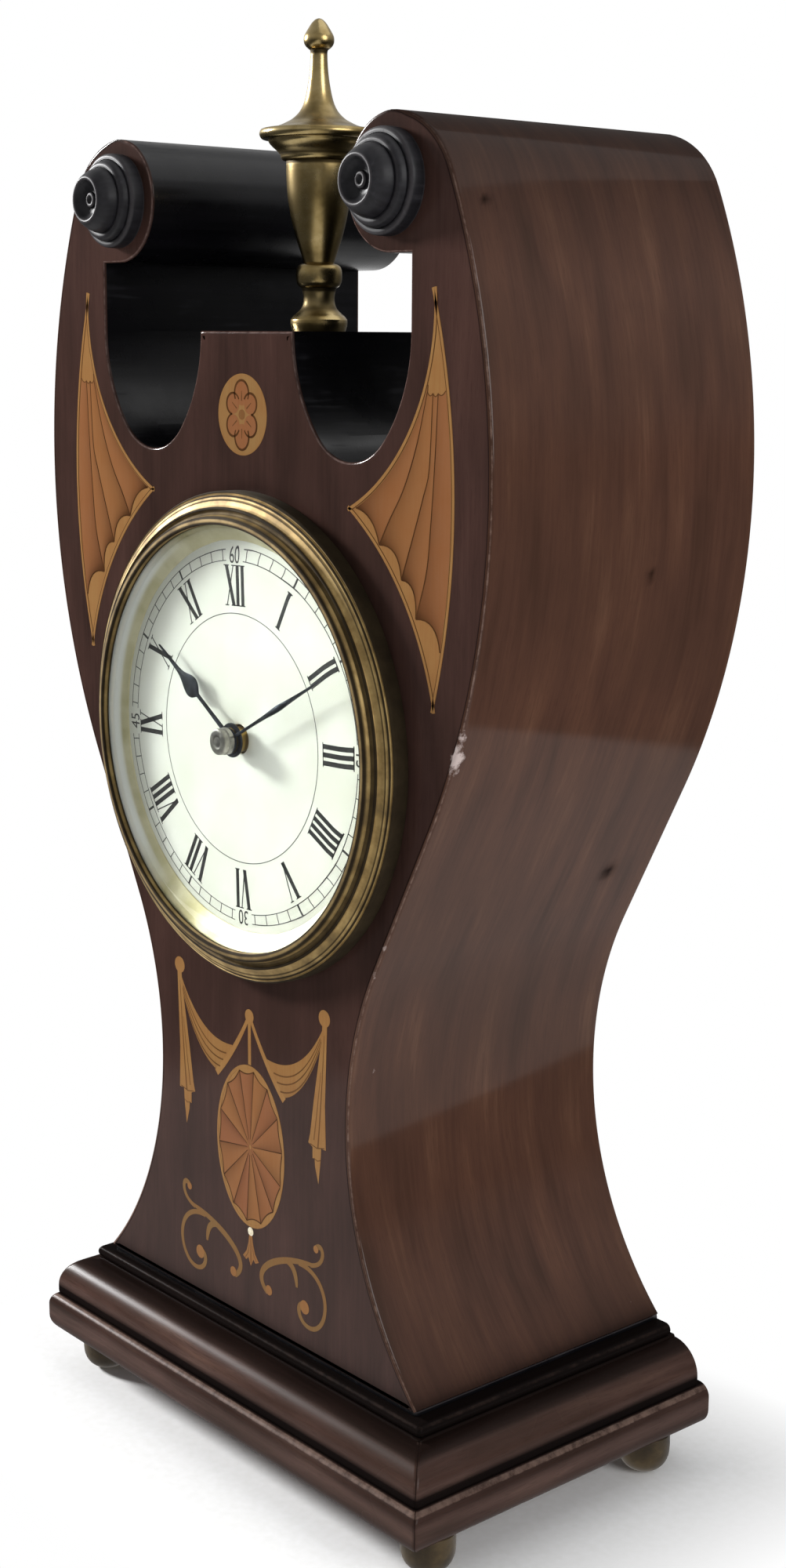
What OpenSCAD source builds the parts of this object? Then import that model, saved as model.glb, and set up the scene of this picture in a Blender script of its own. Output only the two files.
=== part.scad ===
// Balloon mantel clock: inlaid mahogany case on a moulded plinth, ebonised scroll horns,
// urn finial, enamel dial and a drum movement that is wound and set from the back.
// Sizes are in millimetres. The clock stands on Z = 0 and its dial faces -Y.

/* [Case] */
// Depth of the case from the front face to the back face
case_d = 70; // [60:0.5:85]
// Half width of the balloon at its widest
belly_w = 71.5; // [69:0.1:74]
// Half width of the waist at its narrowest
waist_w = 32.5; // [31:0.1:35]
// Thickness of the front board
front_t = 8; // [6:0.5:10]
// Thickness of the back board
back_t = 6; // [5:0.5:9]
// Thickness of the bent side panels
side_t = 6; // [4:0.5:8]
// Thickness of the ebonised throat linings
lining_t = 3; // [2:0.5:4]
// Half width of the pediment block between the throats
block_w = 15.1; // [13:0.1:17]

/* [Plinth] */
// Height of the brass bun feet
foot_h = 9; // [6:0.5:14]
// Radius of the brass bun feet
foot_r = 5.6; // [4.5:0.1:7]
// Thickness of the bottom slab
slab_t = 9.5; // [7:0.5:13]
// How far the slab stands out at the front
slab_out = 10.6; // [10:0.1:14]
// How much further the whole plinth stands out at the sides
plinth_side = 1.5; // [0:0.1:2]
// How far the slab stands out at the back
slab_back = 3.5; // [3.5:0.1:6]
// Height of the quarter-round moulding
ovolo_t = 9.3; // [8.5:0.1:12]
// Height of the small bead moulding
bead_t = 2.7; // [2:0.1:4]
// Height of the ebonised fillet under the case
fillet_t = 1.5; // [1:0.1:3]

/* [Ornament] */
// Radius of the turned roundels on the horns
roundel_r = 9.5; // [7:0.1:11]
// How far the roundels stand out
roundel_h = 8.5; // [6:0.1:10]
// Height of the finial above the pediment block
finial_h = 60.1; // [50:0.1:70]
// Distance of the finial behind the front face
finial_back = 18.6; // [14:0.1:24]
// Depth of the inlay in the front board
inlay_t = 0.8; // [0.5:0.1:1.2]

/* [Dial] */
// Outer radius of the bezel
bezel_r = 50; // [49:0.1:52]
// How far the bezel rim stands out
bezel_h = 6.7; // [6:0.1:8]
// Length of the minute hand from the centre
minute_len = 34; // [30:0.5:36]
// Length of the hour hand from the centre
hour_len = 30; // [27:0.5:31]
// Angle of the minute hand from twelve
minute_at = 62; // [0:1:359]

/* [Movement] */
// Gap between the movement plates
plate_gap = 20; // [20:0.5:24]
// Radius of the setting knob
knob_r = 5; // [3.5:0.1:6]
// Width of the winding key from wing to wing
key_w = 20; // [14:0.5:22]
// Running clearance of shafts and pipes
run_c = 0.06; // [0.03:0.01:0.1]

/* [Hidden] */
$fn = 96;
mahogany = [0.30, 0.19, 0.15];
ebony = [0.05, 0.05, 0.05];
satinwood = [0.77, 0.55, 0.33];
gilt = [0.70, 0.58, 0.32];
steel = [0.55, 0.56, 0.58];
blued = [0.12, 0.13, 0.17];
enamel = [0.96, 0.95, 0.91];
clear = [0.85, 0.92, 0.95, 0.3];

// Heights of the plinth courses and the case
slab_z = foot_h;
ovolo_z = slab_z + slab_t;
bead_z = ovolo_z + ovolo_t;
fillet_z = bead_z + bead_t;
case_z = fillet_z + fillet_t;
slab_d = case_d + slab_out + slab_back;
front_y = slab_out - slab_d / 2;
back_y = front_y + case_d;

// Outline of the balloon, measured up from the fillet: the waist and belly arcs share the bend
belly_h = 180.2;
waist_h = belly_h * 523 / 1802;
swell = belly_w - waist_w;
bend = (swell ^ 2 + (belly_h - waist_h) ^ 2) / (2 * swell);
waist_r = 0.3272 * bend;
belly_r = 0.6095 * bend;
horn_x = 0.61 * belly_w;
horn_top = belly_h + 66.4;
roll_r = 12.4;
roll_h = horn_top - roll_r;
horn_low = roll_h - roll_r;
dial_h = belly_h * 1269 / 1802;
block_top = belly_h + 27.7;
throat_r = (0.692 * belly_w - block_w) / 2;
throat_x = block_w + throat_r;
throat_h = block_top;
bowl_r = 0.756 * throat_r;
bowl_h = throat_h - throat_r - 6.8 + bowl_r;
flank_r = (throat_r ^ 2 + (throat_h - bowl_h) ^ 2 - bowl_r ^ 2) / (2 * (throat_r - bowl_r));
c1 = [waist_w + waist_r, waist_h];
c2 = [belly_w - belly_r, belly_h];
case_w = c1[0] - sqrt(waist_r ^ 2 - waist_h ^ 2) - 0.1;
c12 = c2 - c1;
tan_a = atan2(c12[1], c12[0]) + acos((waist_r + belly_r) / norm(c12));
tan_n = [cos(tan_a), sin(tan_a)];
top_r = ((horn_x - c2[0]) ^ 2 + (horn_top - belly_h) ^ 2 - belly_r ^ 2)
    / (2 * (horn_top - belly_h) - 2 * belly_r);
c4 = [horn_x, horn_top - top_r];
top_n = (c4 - c2) / norm(c4 - c2);

// Axial places along the dial axis, forward of the front face
drum_r = bezel_r - 8;
drum_in = drum_r - 1.2;
drum_back = -40;
dial_top = 1.2;
dial_t = 1;
glass_edge = 3.8;
glass_top = glass_edge + 1.2;
ledge_r = drum_r - 3.8;
glass_r = drum_r + 1.9;
bevel_r = drum_r - 2.6;
clamp_r = drum_r + 3;
screw_r = drum_r - 2.6;
plate_p = -4;
plate_t = 2;
gap_top = plate_p - plate_t;
gap_end = gap_top - plate_gap;
back_end = gap_end - plate_t;
pipe_r = 1.25;
cannon_r = 1.8;
hour_r = 2.6;
tip_p = glass_edge + 2.9;

// Wheel counts and modules
great_n = 72;
great_m = 0.45;
centre_n = 64;
centre_m = 0.4;
third_n = 60;
third_m = 0.35;
fourth_n = 64;
fourth_m = 0.3;
leaf_n = 8;
barrel_leaf = 12;
cannon_n = 12;
minute_n = 36;
minute_m = 0.4;
hour_n = 40;
hour_leaf = 10;
hour_m = minute_m * (cannon_n + minute_n) / (hour_n + hour_leaf);
barrel_at = [0, -great_m * (great_n + barrel_leaf) / 2];
third_a = 60;
third_at = centre_m * (centre_n + leaf_n) / 2 * [cos(third_a), sin(third_a)];
fourth_a = 150;
fourth_at = third_at + third_m * (third_n + leaf_n) / 2 * [cos(fourth_a), sin(fourth_a)];
escape_a = 180;
escape_at = fourth_at + fourth_m * (fourth_n + leaf_n) / 2 * [cos(escape_a), sin(escape_a)];
balance_at = [-24, 8];
lever_at = escape_at + 0.36 * (balance_at - escape_at);
minute_a = 0;
minute_wheel_at = minute_m * (cannon_n + minute_n) / 2 * [cos(minute_a), sin(minute_a)];

// Places a drawing of the front elevation: X across, Y up from the fillet, Z out of the front face
module elevation() {
  translate([0, front_y, case_z]) rotate([90, 0, 0]) children();
}

// Places a part on the dial axis, Z out of the front face
module on_dial() {
  elevation() translate([0, dial_h, 0]) children();
}

// Right half of the balloon outline, drawn in by a given amount
module half_body(inset) {
  t1 = c1 + (waist_r + inset) * tan_n;
  t2 = c2 - (belly_r - inset) * tan_n;
  t4 = c2 + (belly_r - inset) * top_n;
  difference() {
    square([waist_w + 40, t1[1]]);
    translate(c1) circle(waist_r + inset);
    translate([c1[0], -1]) square([40, t1[1] + 2]);
  }
  polygon([[0, t1[1]], t1, t2, [0, t2[1]]]);
  intersection() {
    translate(c2) circle(belly_r - inset);
    translate([0, t2[1]]) square([belly_w + 1, t4[1] - t2[1]]);
  }
  intersection() {
    translate(c4) circle(top_r - inset);
    translate([horn_x, t4[1]]) square([40, 30]);
  }
}

// Throat opening between the pediment block and the right horn, drawn out by a given amount:
// straight walls over a bowl of three arcs
module throat(out) {
  low = throat_h - (flank_r + out) * (throat_h - bowl_h) / (flank_r - bowl_r);
  translate([throat_x, bowl_h]) circle(bowl_r + out);
  intersection() {
    translate([throat_x + throat_r - flank_r, throat_h]) circle(flank_r + out);
    translate([throat_x - throat_r + flank_r, throat_h]) circle(flank_r + out);
    translate([throat_x - throat_r - out - 1, low]) square([2 * (throat_r + out + 1), throat_h - low]);
  }
  translate([throat_x - throat_r - out, throat_h]) square([2 * (throat_r + out), horn_low - throat_h]);
}

// Right half of the front elevation with the throat opened and the scroll end added
module half_face() {
  difference() {
    half_body(0);
    throat(0);
    translate([-1, block_top]) square([horn_x + 1, 60]);
    translate([horn_x - 10, block_top]) square([throat_x + throat_r - horn_x + 10, horn_low - block_top]);
  }
  intersection() {
    translate([horn_x, roll_h]) circle(roll_r);
    translate([0, horn_low - 1]) square([horn_x, 2 * roll_r + 2]);
  }
}

module face() {
  half_face();
  mirror([1, 0]) half_face();
}

// Bent skin on the right, from the fillet up over the shoulder to the crown of the horn
module skin_outline() {
  difference() {
    half_body(0);
    half_body(side_t);
    translate([-1, throat_h]) square([horn_x + 1, 100]);
  }
}

// Right horn above the throat, inside the skin
module horn_outline() {
  difference() {
    intersection() {
      half_face();
      translate([horn_x - roll_r - 1, horn_low]) square([60, 60]);
    }
    skin_outline();
  }
}

// Fan shell between the throat, the shoulder and the dial
module shell_outline() {
  difference() {
    intersection() {
      translate([belly_w - 141.1, belly_h - 3.8]) circle(131.5);
      translate([belly_w - 42, dial_h]) square([60, 92]);
    }
    translate([0, dial_h]) circle(belly_w - 13.5);
    translate([throat_x - 17.5, throat_h + 5]) circle(throat_r + 24);
  }
}

module patera_outline() {
  translate([-1, dial_h + 64.8]) circle(8);
}

module oval_outline() {
  translate([0, 39.1]) polygon([for (a = [0:7.5:359]) [11.8 * cos(a), 18 * sin(a)]]);
}

// Cubic curve through its four control points, and a band along it from one width to another with a swell
function curve(p, t) = (1 - t) ^ 3 * p[0] + 3 * t * (1 - t) ^ 2 * p[1]
    + 3 * t ^ 2 * (1 - t) * p[2] + t ^ 3 * p[3];
function lean(p, t) = curve(p, t + 0.01) - curve(p, t - 0.01);
function edge(p, t, w) = curve(p, t) + w / 2 * [-lean(p, t)[1], lean(p, t)[0]] / norm(lean(p, t));
function wide(w, t) = w[0] + (w[1] - w[0]) * t + 4 * w[2] * t * (1 - t);
module band(p, w) {
  polygon(concat([for (t = [0:0.1:1.01]) edge(p, t, wide(w, t))],
      [for (t = [1:-0.1:-0.01]) edge(p, t, -wide(w, t))]));
}

// One half of the swag: bead, hanging tail, draped festoon and the cord to the middle bead
module swag_half() {
  upper = [[24.4, 71], [20, 63.5], [14, 59], [6, 60.1]];
  lower = [[10.6, 53], [16.6, 53.8], [21.8, 61], [24.9, 70]];
  translate([25, 73.5]) circle(1.8);
  polygon([[24.4, 72.5], [25.9, 72.5], [25.6, 65], [25.2, 55], [25.5, 45.8], [24, 45.8], [23.8, 43],
      [23.1, 37.9],
    [22, 41.5], [21.9, 43], [21.2, 43], [21.2, 45.4], [19.8, 46], [20.4, 48], [21.7, 56], [23, 63],
      [24.2, 69.5]]);
  polygon(concat([for (t = [0:0.1:1.01]) curve(upper, t)], [for (t = [0:0.1:1.01]) curve(lower, t)]));
  band([[11.8, 52.6], [8, 56], [3.4, 62], [0.4, 67.4]], [1.5, 0.9, 0]);
}

module swag_outline() {
  swag_half();
  mirror([1, 0]) swag_half();
  translate([0, 67.9]) circle(1.5);
  translate([-0.5, 57.3]) square([1, 10]);
}

// One scroll: hooked tip, main leaf curling in at the foot, big ring and a side leaf
module scroll_half() {
  band([[22.2, 23.6], [24.6, 26.4], [26.4, 20.6], [20.4, 19.4]], [1.3, 1, -0.2]);
  band([[20.9, 19.6], [10, 18.4], [-1, 12.6], [5.8, 8.2]], [0.8, 1.1, 0.5]);
  band([[16.5, 18.5], [22.5, 19], [25.6, 15], [25.3, 11]], [1, 1, 0.1]);
  band([[25.3, 11.2], [25, 7], [21.5, 4.4], [18.5, 5.7]], [1, 1, 0]);
  band([[18.7, 5.6], [16, 6.7], [16, 9.8], [18.2, 9.8]], [1, 1.3, 0]);
  band([[11.4, 17.5], [14.8, 17.9], [15.6, 16], [15.9, 12.9]], [0.6, 0.6, 0.8]);
  translate([22.3, 23.5]) circle(0.8);
  translate([6.3, 8.9]) circle(1.1);
  translate([18.5, 9.4]) circle(1.5);
}

module scroll_outline() {
  scroll_half();
  mirror([1, 0]) scroll_half();
  translate([0, 20.1]) circle(0.95);
  polygon([[-0.5, 19.4], [0.5, 19.4], [0.8, 17.4], [1.5, 15.4], [2.8, 13.9], [1.6, 13.3], [0.9, 14],
      [0, 12.3],
    [-0.9, 14], [-1.6, 13.3], [-2.8, 13.9], [-1.5, 15.4], [-0.8, 17.4]]);
}

// Toothed wheel: flank widths and heights are in parts of the pitch and the module
function tooth(n, m, wide, tall) = [for (k = [0:n - 1], q = [[-1.3, -1], [0, -1], [0.55 * tall, -0.8],
    [tall, -0.35],
  [tall, 0.35], [0.55 * tall, 0.8], [0, 1], [-1.3, 1]])
  (n / 2 + q[0]) * m * [cos(360 * k / n + q[1] * wide * 180 / n), sin(360 * k / n + q[1] * wide * 180 / n)]];
module wheel_teeth(n, m) polygon(tooth(n, m, 0.41, 0.95));
module leaf_teeth(n, m) polygon(tooth(n, m, 0.37, 0.8));

// Rim, four arms and hub of a crossed-out wheel
module crossed_wheel(n, m, t, bore) {
  linear_extrude(t) difference() {
    wheel_teeth(n, m);
    difference() {
      circle((n / 2 - 3.4) * m);
      circle(bore + 1.5);
      for (a = [0, 90]) rotate(a) square([n * m, 1.3], center = true);
    }
    circle(bore);
  }
}

module foot_places() {
  for (x = [-1, 1], y = [-1, 1]) translate([x * (case_w + 3.7), y * (slab_d / 2 - 11), 0]) children();
}

module bun_feet() {
  dome_z = foot_r - 0.3;
  color(gilt) foot_places() difference() {
    union() {
      translate([0, 0, dome_z]) cylinder(h = foot_h - dome_z, r = foot_r);
      intersection() {
        translate([0, 0, dome_z]) sphere(r = foot_r);
        cylinder(h = dome_z, r = foot_r + 1);
      }
    }
    translate([0, 0, 3]) cylinder(h = foot_h, r = 1.2);
  }
}

module foot_studs() {
  color(steel) foot_places() translate([0, 0, 3]) cylinder(h = foot_h + 3, r = 1.2);
}

// Section of the slab from its outer edge inward: the lower edge is rounded more than the upper
module slab_section(out) {
  translate([out - 2.8, slab_t - 2.8]) circle(2.8);
  translate([out - 3.8, 3.8]) circle(3.8);
  square([out - 3.8, slab_t - 2.8]);
  translate([0, 3.8]) square([out - 2.8, slab_t - 3.8]);
  translate([0, 3.8]) square([out, slab_t - 6.6]);
}

module plinth_slab() {
  w = case_w + slab_out + plinth_side;
  color(mahogany) difference() {
    translate([0, 0, slab_z]) intersection() {
      translate([0, slab_d / 2, 0]) rotate([90, 0, 0]) linear_extrude(slab_d) {
        slab_section(w);
        mirror([1, 0]) slab_section(w);
      }
      translate([-w, 0, 0]) rotate([90, 0, 90]) linear_extrude(2 * w) {
        mirror([1, 0]) slab_section(slab_d / 2);
        translate([-1, 0]) square([slab_d / 2 + 1, slab_t]);
      }
    }
    foot_places() translate([0, 0, slab_z - 1]) cylinder(h = 7, r = 1.2);
  }
}

// Section of the quarter round from its outer edge inward, drawn at the right
module ovolo_section(out) {
  difference() {
    square([out, ovolo_t]);
    translate([out - 6.9, ovolo_t - 7.4]) difference() {
      square([7.9, 8.4]);
      circle(6.9);
      translate([-1, -1]) square([1, 10]);
    }
  }
}

module plinth_ovolo() {
  f = slab_out - 1.7;
  w = case_w + plinth_side + f;
  color(mahogany) translate([0, 0, ovolo_z]) intersection() {
    translate([0, back_y + 1.5, 0]) rotate([90, 0, 0]) linear_extrude(case_d + slab_out + 2) {
      ovolo_section(w);
      mirror([1, 0]) ovolo_section(w);
    }
    translate([-w - 1, 0, 0]) rotate([90, 0, 90]) linear_extrude(2 * w + 2) {
      mirror([1, 0]) ovolo_section(-front_y + f);
      translate([-1, 0]) square([back_y + 2.5, ovolo_t]);
    }
  }
}

module bead_section(out) {
  square([out - bead_t / 2, bead_t]);
  translate([out - bead_t / 2, bead_t / 2]) circle(bead_t / 2);
}

module plinth_bead() {
  w = case_w + plinth_side + 2.1;
  color(mahogany) translate([0, 0, bead_z]) intersection() {
    translate([0, back_y, 0]) rotate([90, 0, 0]) linear_extrude(case_d + slab_out) {
      bead_section(w);
      mirror([1, 0]) bead_section(w);
    }
    translate([-w - 1, 0, 0]) rotate([90, 0, 90]) linear_extrude(2 * w + 2) {
      mirror([1, 0]) bead_section(-front_y + 2.1);
      translate([-1, 0]) square([back_y + 1, bead_t]);
    }
  }
}

module base_fillet() {
  color(ebony) translate([-case_w + 0.4, front_y + 0.4, fillet_z])
      cube([2 * (case_w - 0.4), case_d - 0.4, fillet_t]);
}

module front_board() {
  color(mahogany) elevation() difference() {
    translate([0, 0, -front_t]) linear_extrude(front_t) difference() {
      face();
      translate([0, dial_h]) circle(drum_r + 0.1);
    }
    translate([0, 0, -inlay_t]) linear_extrude(inlay_t + 1) {
      shell_outline();
      mirror([1, 0]) shell_outline();
      patera_outline();
      swag_outline();
      oval_outline();
      scroll_outline();
    }
    for (a = [90, 210, 330]) translate([clamp_r * cos(a), dial_h + clamp_r * sin(a), -front_t - 1])
        cylinder(h = 5, r = 0.9);
    for (x = [-1, 1]) translate([x * horn_x, roll_h, -front_t - 1]) cylinder(h = front_t + 2, r = 1.5);
  }
}

module back_board() {
  color(mahogany) elevation() translate([0, 0, -case_d]) linear_extrude(back_t) difference() {
    face();
    translate([0, dial_h]) circle(37);
  }
}

module side_panel() {
  color(mahogany) elevation() translate([0, 0, back_t - case_d])
      linear_extrude(case_d - front_t - back_t) skin_outline();
}
module right_side() side_panel();
module left_side() mirror([1, 0, 0]) side_panel();

module horn() {
  color(ebony) elevation() difference() {
    translate([0, 0, back_t - case_d]) linear_extrude(case_d - front_t - back_t) horn_outline();
    translate([horn_x, roll_h, -front_t - 8]) cylinder(h = 9, r = 1.5);
  }
}
module right_horn() horn();
module left_horn() mirror([1, 0, 0]) horn();

module throat_lining() {
  color(ebony) elevation() translate([0, 0, back_t - case_d])
      linear_extrude(case_d - front_t - back_t) difference() {
    throat(lining_t);
    throat(0);
    translate([0, block_top]) square([throat_x, 40]);
    translate([throat_x - throat_r, throat_h]) square([2 * throat_r, 40]);
  }
}
module right_throat() throat_lining();
module left_throat() mirror([1, 0, 0]) throat_lining();

module pediment_block() {
  w = block_w - lining_t;
  color(ebony) elevation() difference() {
    translate([-w, block_top - 21, back_t - case_d]) cube([2 * w, 21, case_d - front_t - back_t]);
    translate([0, block_top - 12, -finial_back]) rotate([-90, 0, 0]) cylinder(h = 13, r = 1.5);
  }
}

module roundel() {
  h = roundel_h;
  r = roundel_r;
  color(ebony) elevation() translate([horn_x, roll_h, 0]) {
    rotate_extrude() polygon([for (q = [[0, 0], [1, 0], [1, 0.27], [0.985, 0.31], [0.94, 0.345], [0.885, 0.35],
      [0.86, 0.34], [0.858, 0.39], [0.826, 0.48], [0.768, 0.535], [0.71, 0.54], [0.69, 0.53], [0.68, 0.61],
      [0.637, 0.755], [0.568, 0.878], [0.51, 0.955], [0.474, 0.985], [0.437, 0.978], [0.405, 0.937],
      [0.358, 0.86], [0.284, 0.795], [0.21, 0.77], [0.174, 0.77], [0.158, 0.818], [0.126, 0.842],
      [0.09, 0.836], [0.058, 0.795], [0, 0.783]]) [q[0] * r, q[1] * h]]);
    translate([0, 0, -front_t - 7]) cylinder(h = front_t + 8, r = 1.5);
  }
}
module right_roundel() roundel();
module left_roundel() mirror([1, 0, 0]) roundel();

module on_block() {
  translate([0, front_y + finial_back, case_z + block_top]) scale(finial_h / 60.1) children();
}

module finial_foot() {
  color(gilt) on_block() rotate_extrude() polygon([[1.5, 0], [5.3, 0], [5.5, 0.8], [5.7, 2.3], [4.9, 3.3],
    [3.6, 4.5], [3.1, 6.4], [3.4, 8.3], [4.4, 9.4], [4.6, 11], [4.4, 12.7], [3, 13.3], [1.5, 13.3]]);
}

module finial_urn() {
  color(gilt) on_block() rotate_extrude() polygon([[1.5, 13.3], [3, 13.3], [3.6, 15.2], [4.65, 18.4],
    [5.8, 23.4], [6.4, 28.5], [6.5, 31], [6.5, 33.1], [7.4, 33.3], [7.6, 34], [8, 34.6], [9.3, 35.8],
    [10.1, 37.1], [1.5, 37.1]]);
}

module finial_cover() {
  color(gilt) on_block() rotate_extrude() polygon([[1.5, 37.1], [11.3, 37.1], [11.8, 38.2], [11.4, 39],
    [9.4, 39.3], [6.5, 40.4], [4.5, 41.7], [3.2, 43.6], [2.45, 46.1], [1.8, 49.9], [1.65, 53.6], [1.7, 54.2],
    [2.4, 54.6], [3, 55.9], [2.5, 57.5], [1.4, 59.2], [0, 60.1], [0, 44], [1.5, 44]]);
}

module finial_rod() {
  color(steel) {
    on_block() cylinder(h = 44, r = 1.5);
    translate([0, front_y + finial_back, case_z + block_top - 12]) cylinder(h = 12, r = 1.5);
  }
}

module inlay() {
  color(satinwood) elevation() translate([0, 0, -inlay_t]) linear_extrude(inlay_t) children();
}
module shell_inlays() inlay() {
  shell_outline();
  mirror([1, 0]) shell_outline();
}
module patera_inlay() inlay() patera_outline();
module swag_inlay() inlay() swag_outline();
module oval_inlay() inlay() oval_outline();
module scroll_inlays() inlay() scroll_outline();

// Ring turned about the dial axis from a section of radius and height
module turned(points) {
  on_dial() rotate_extrude() polygon(points);
}

module bezel() {
  r = bezel_r;
  h = bezel_h;
  lip = drum_r + 1.4;
  color(gilt) turned([[drum_r + 5.05, 0], [r, 0], [r, 0.45 * h], [r - 0.3, 0.51 * h], [r - 0.7, 0.49 * h],
    [r - 0.9, 0.55 * h], [r - 1.5, 0.58 * h], [r - 1.7, 0.62 * h], [r - 2.2, 0.63 * h], [r - 3.1, 0.7 * h],
    [r - 3.15, 0.75 * h], [r - 3.4, 0.79 * h], [r - 3.8, 0.76 * h], [r - 4.3, 0.73 * h], [r - 4.7, 0.8 * h],
    [r - 4.9, 0.92 * h], [r - 5.4, 0.99 * h], [r - 6.3, h], [lip, 0.97 * h], [lip, glass_top],
    [glass_r + 0.1, glass_top], [glass_r + 0.1, dial_top], [drum_r + 5.05, dial_top]]);
}

// Domed glass with a bevelled edge
function dome(x, rise) = rise * (1 - (x / bevel_r) ^ 2);
module glass() {
  e = glass_top;
  rise = 2.8;
  steps = [for (k = [1:6]) bevel_r * k / 6.5];
  color(clear) turned(concat([[0, glass_edge + 0.4 + rise]],
    [for (x = steps) [x, glass_edge + 0.4 + dome(x, rise)]],
    [[bevel_r + 0.4, glass_edge + 0.3], [bevel_r + 1.4, glass_edge], [glass_r, glass_edge], [glass_r, e],
    [glass_r - 0.6, e], [bevel_r, e + 1.1]], [for (k = [5:-1:0]) [steps[k], e + 1.1 + dome(steps[k], rise)]],
    [[0, e + 1.1 + rise]]));
}

module sight_ring() {
  r = drum_r - 2.6;
  color(gilt) turned([[r, dial_top], [r + 0.8, dial_top], [glass_r, glass_edge - 0.4], [glass_r, glass_edge],
    [glass_r - 0.6, glass_edge]]);
}

module dial() {
  color(enamel) on_dial() translate([0, 0, dial_top - dial_t]) difference() {
    cylinder(h = dial_t, r = drum_in - 0.2);
    translate([0, 0, -1]) cylinder(h = dial_t + 2, r = hour_r + 0.5);
  }
}

module drum_shell() {
  b = dial_top - dial_t;
  color(gilt) difference() {
    turned([[0, drum_back], [drum_r, drum_back], [drum_r, 0], [drum_r + 5, 0], [drum_r + 5, dial_top],
        [drum_in, dial_top],
      [drum_in, b], [ledge_r, b], [ledge_r, plate_p], [drum_in, plate_p], [drum_in, drum_back + 1.2],
        [0, drum_back + 1.2]]);
    on_dial() translate([0, 0, drum_back - 1]) {
      cylinder(h = 4, r = 2);
      translate(barrel_at) cylinder(h = 4, r = 3);
    }
    for (a = [30, 150, 270]) on_dial() translate([screw_r * cos(a), screw_r * sin(a), plate_p - 1])
        cylinder(h = 3, r = 0.7);
  }
}

module clamp_ring() {
  color(gilt) on_dial() translate([0, 0, -front_t - 1.5]) difference() {
    cylinder(h = 1.5, r = drum_r + 5);
    translate([0, 0, -1]) cylinder(h = 4, r = drum_r);
    for (a = [90, 210, 330]) translate([clamp_r * cos(a), clamp_r * sin(a), -1]) cylinder(h = 4, r = 0.9);
  }
}

module clamp_screws() {
  color(steel) on_dial() for (a = [90, 210, 330]) translate([clamp_r * cos(a), clamp_r * sin(a), 0]) {
    translate([0, 0, -front_t - 2.4]) cylinder(h = 0.9, r = 1.7);
    translate([0, 0, -front_t - 2]) cylinder(h = 5.8, r = 0.9);
  }
}

module pillar_places() {
  for (a = [45:90:315]) rotate(a) translate([drum_r - 10, 0, 0]) children();
}

// Pivot holes that both movement plates share
module pivot_holes(t) {
  translate([0, 0, -1]) {
    cylinder(h = t + 2, r = 2.2 + run_c);
    translate(barrel_at) cylinder(h = t + 2, r = 2 + run_c);
    for (p = [third_at, fourth_at, escape_at, lever_at, balance_at]) translate(p)
        cylinder(h = t + 2, r = 0.5 + run_c);
    pillar_places() cylinder(h = t + 2, r = 1.1);
  }
}

module front_plate() {
  color(gilt) on_dial() translate([0, 0, plate_p - plate_t]) {
    difference() {
      cylinder(h = plate_t, r = drum_in - 0.2);
      pivot_holes(plate_t);
      for (a = [30, 150, 270]) translate([screw_r * cos(a), screw_r * sin(a), -1])
          cylinder(h = plate_t + 2, r = 0.7);
    }
    translate(minute_wheel_at) cylinder(h = plate_t - plate_p - 0.3, r = 0.8);
  }
}

module back_plate() {
  color(gilt) on_dial() translate([0, 0, back_end]) {
    difference() {
      cylinder(h = plate_t, r = drum_r - 6);
      pivot_holes(plate_t);
    }
    translate([barrel_at[0] + 9.4, barrel_at[1] + 6, -1.8]) cylinder(h = 2.2, r = 0.8);
  }
}

module pillars() {
  color(gilt) on_dial() translate([0, 0, gap_end]) pillar_places() {
    cylinder(h = plate_gap, r = 2.2);
    translate([0, 0, -plate_t - 1]) cylinder(h = plate_gap + 2 * plate_t + 1, r = 1.1);
    translate([0, 0, -plate_t - 1]) cylinder(h = 1, r = 1.9);
  }
}

module movement_screws() {
  color(steel) on_dial() for (a = [30, 150, 270]) translate([screw_r * cos(a), screw_r * sin(a), 0]) {
    translate([0, 0, gap_top - 0.7]) cylinder(h = 0.7, r = 1.2);
    translate([0, 0, gap_top - 0.3]) cylinder(h = plate_t + 1.8, r = 0.7);
  }
}

// The hour hand is pushed on a little late
hour_at = 298.6 + minute_at / 12;

module hour_hand() {
  color(blued) on_dial() translate([0, 0, 2.9]) rotate(-hour_at) linear_extrude(0.4) difference() {
    union() {
      circle(hour_r + 0.9);
      translate([-0.4, 0]) square([0.8, hour_len - 1]);
      polygon([[0, hour_len], [-0.4, hour_len - 6], [-1.2, 19.5], [-2.2, 16.7], [-1.7, 14.9], [-0.4, 13.8],
        [0.4, 13.8], [1.7, 14.9], [2.2, 16.7], [1.2, 19.5], [0.4, hour_len - 6]]);
    }
    circle(hour_r);
  }
}

module hour_wheel() {
  color(gilt) on_dial() difference() {
    union() {
      translate([0, 0, -1.8]) rotate(minute_a) linear_extrude(1) wheel_teeth(hour_n, hour_m);
      translate([0, 0, -1.8]) cylinder(h = 5.1, r = hour_r);
    }
    translate([0, 0, -3]) cylinder(h = 8, r = cannon_r + run_c);
  }
}

module minute_hand() {
  color(blued) on_dial() translate([0, 0, 3.8]) rotate(-minute_at) linear_extrude(0.4) difference() {
    union() {
      circle(cannon_r + 0.9);
      translate([-0.35, 0]) square([0.7, minute_len - 1]);
      polygon([[0, minute_len], [-0.35, minute_len - 7], [-0.5, 22], [-0.65, 18.6], [-0.35, 13],
        [0.35, 13], [0.65, 18.6], [0.5, 22], [0.35, minute_len - 7]]);
    }
    circle(cannon_r);
  }
}

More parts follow.
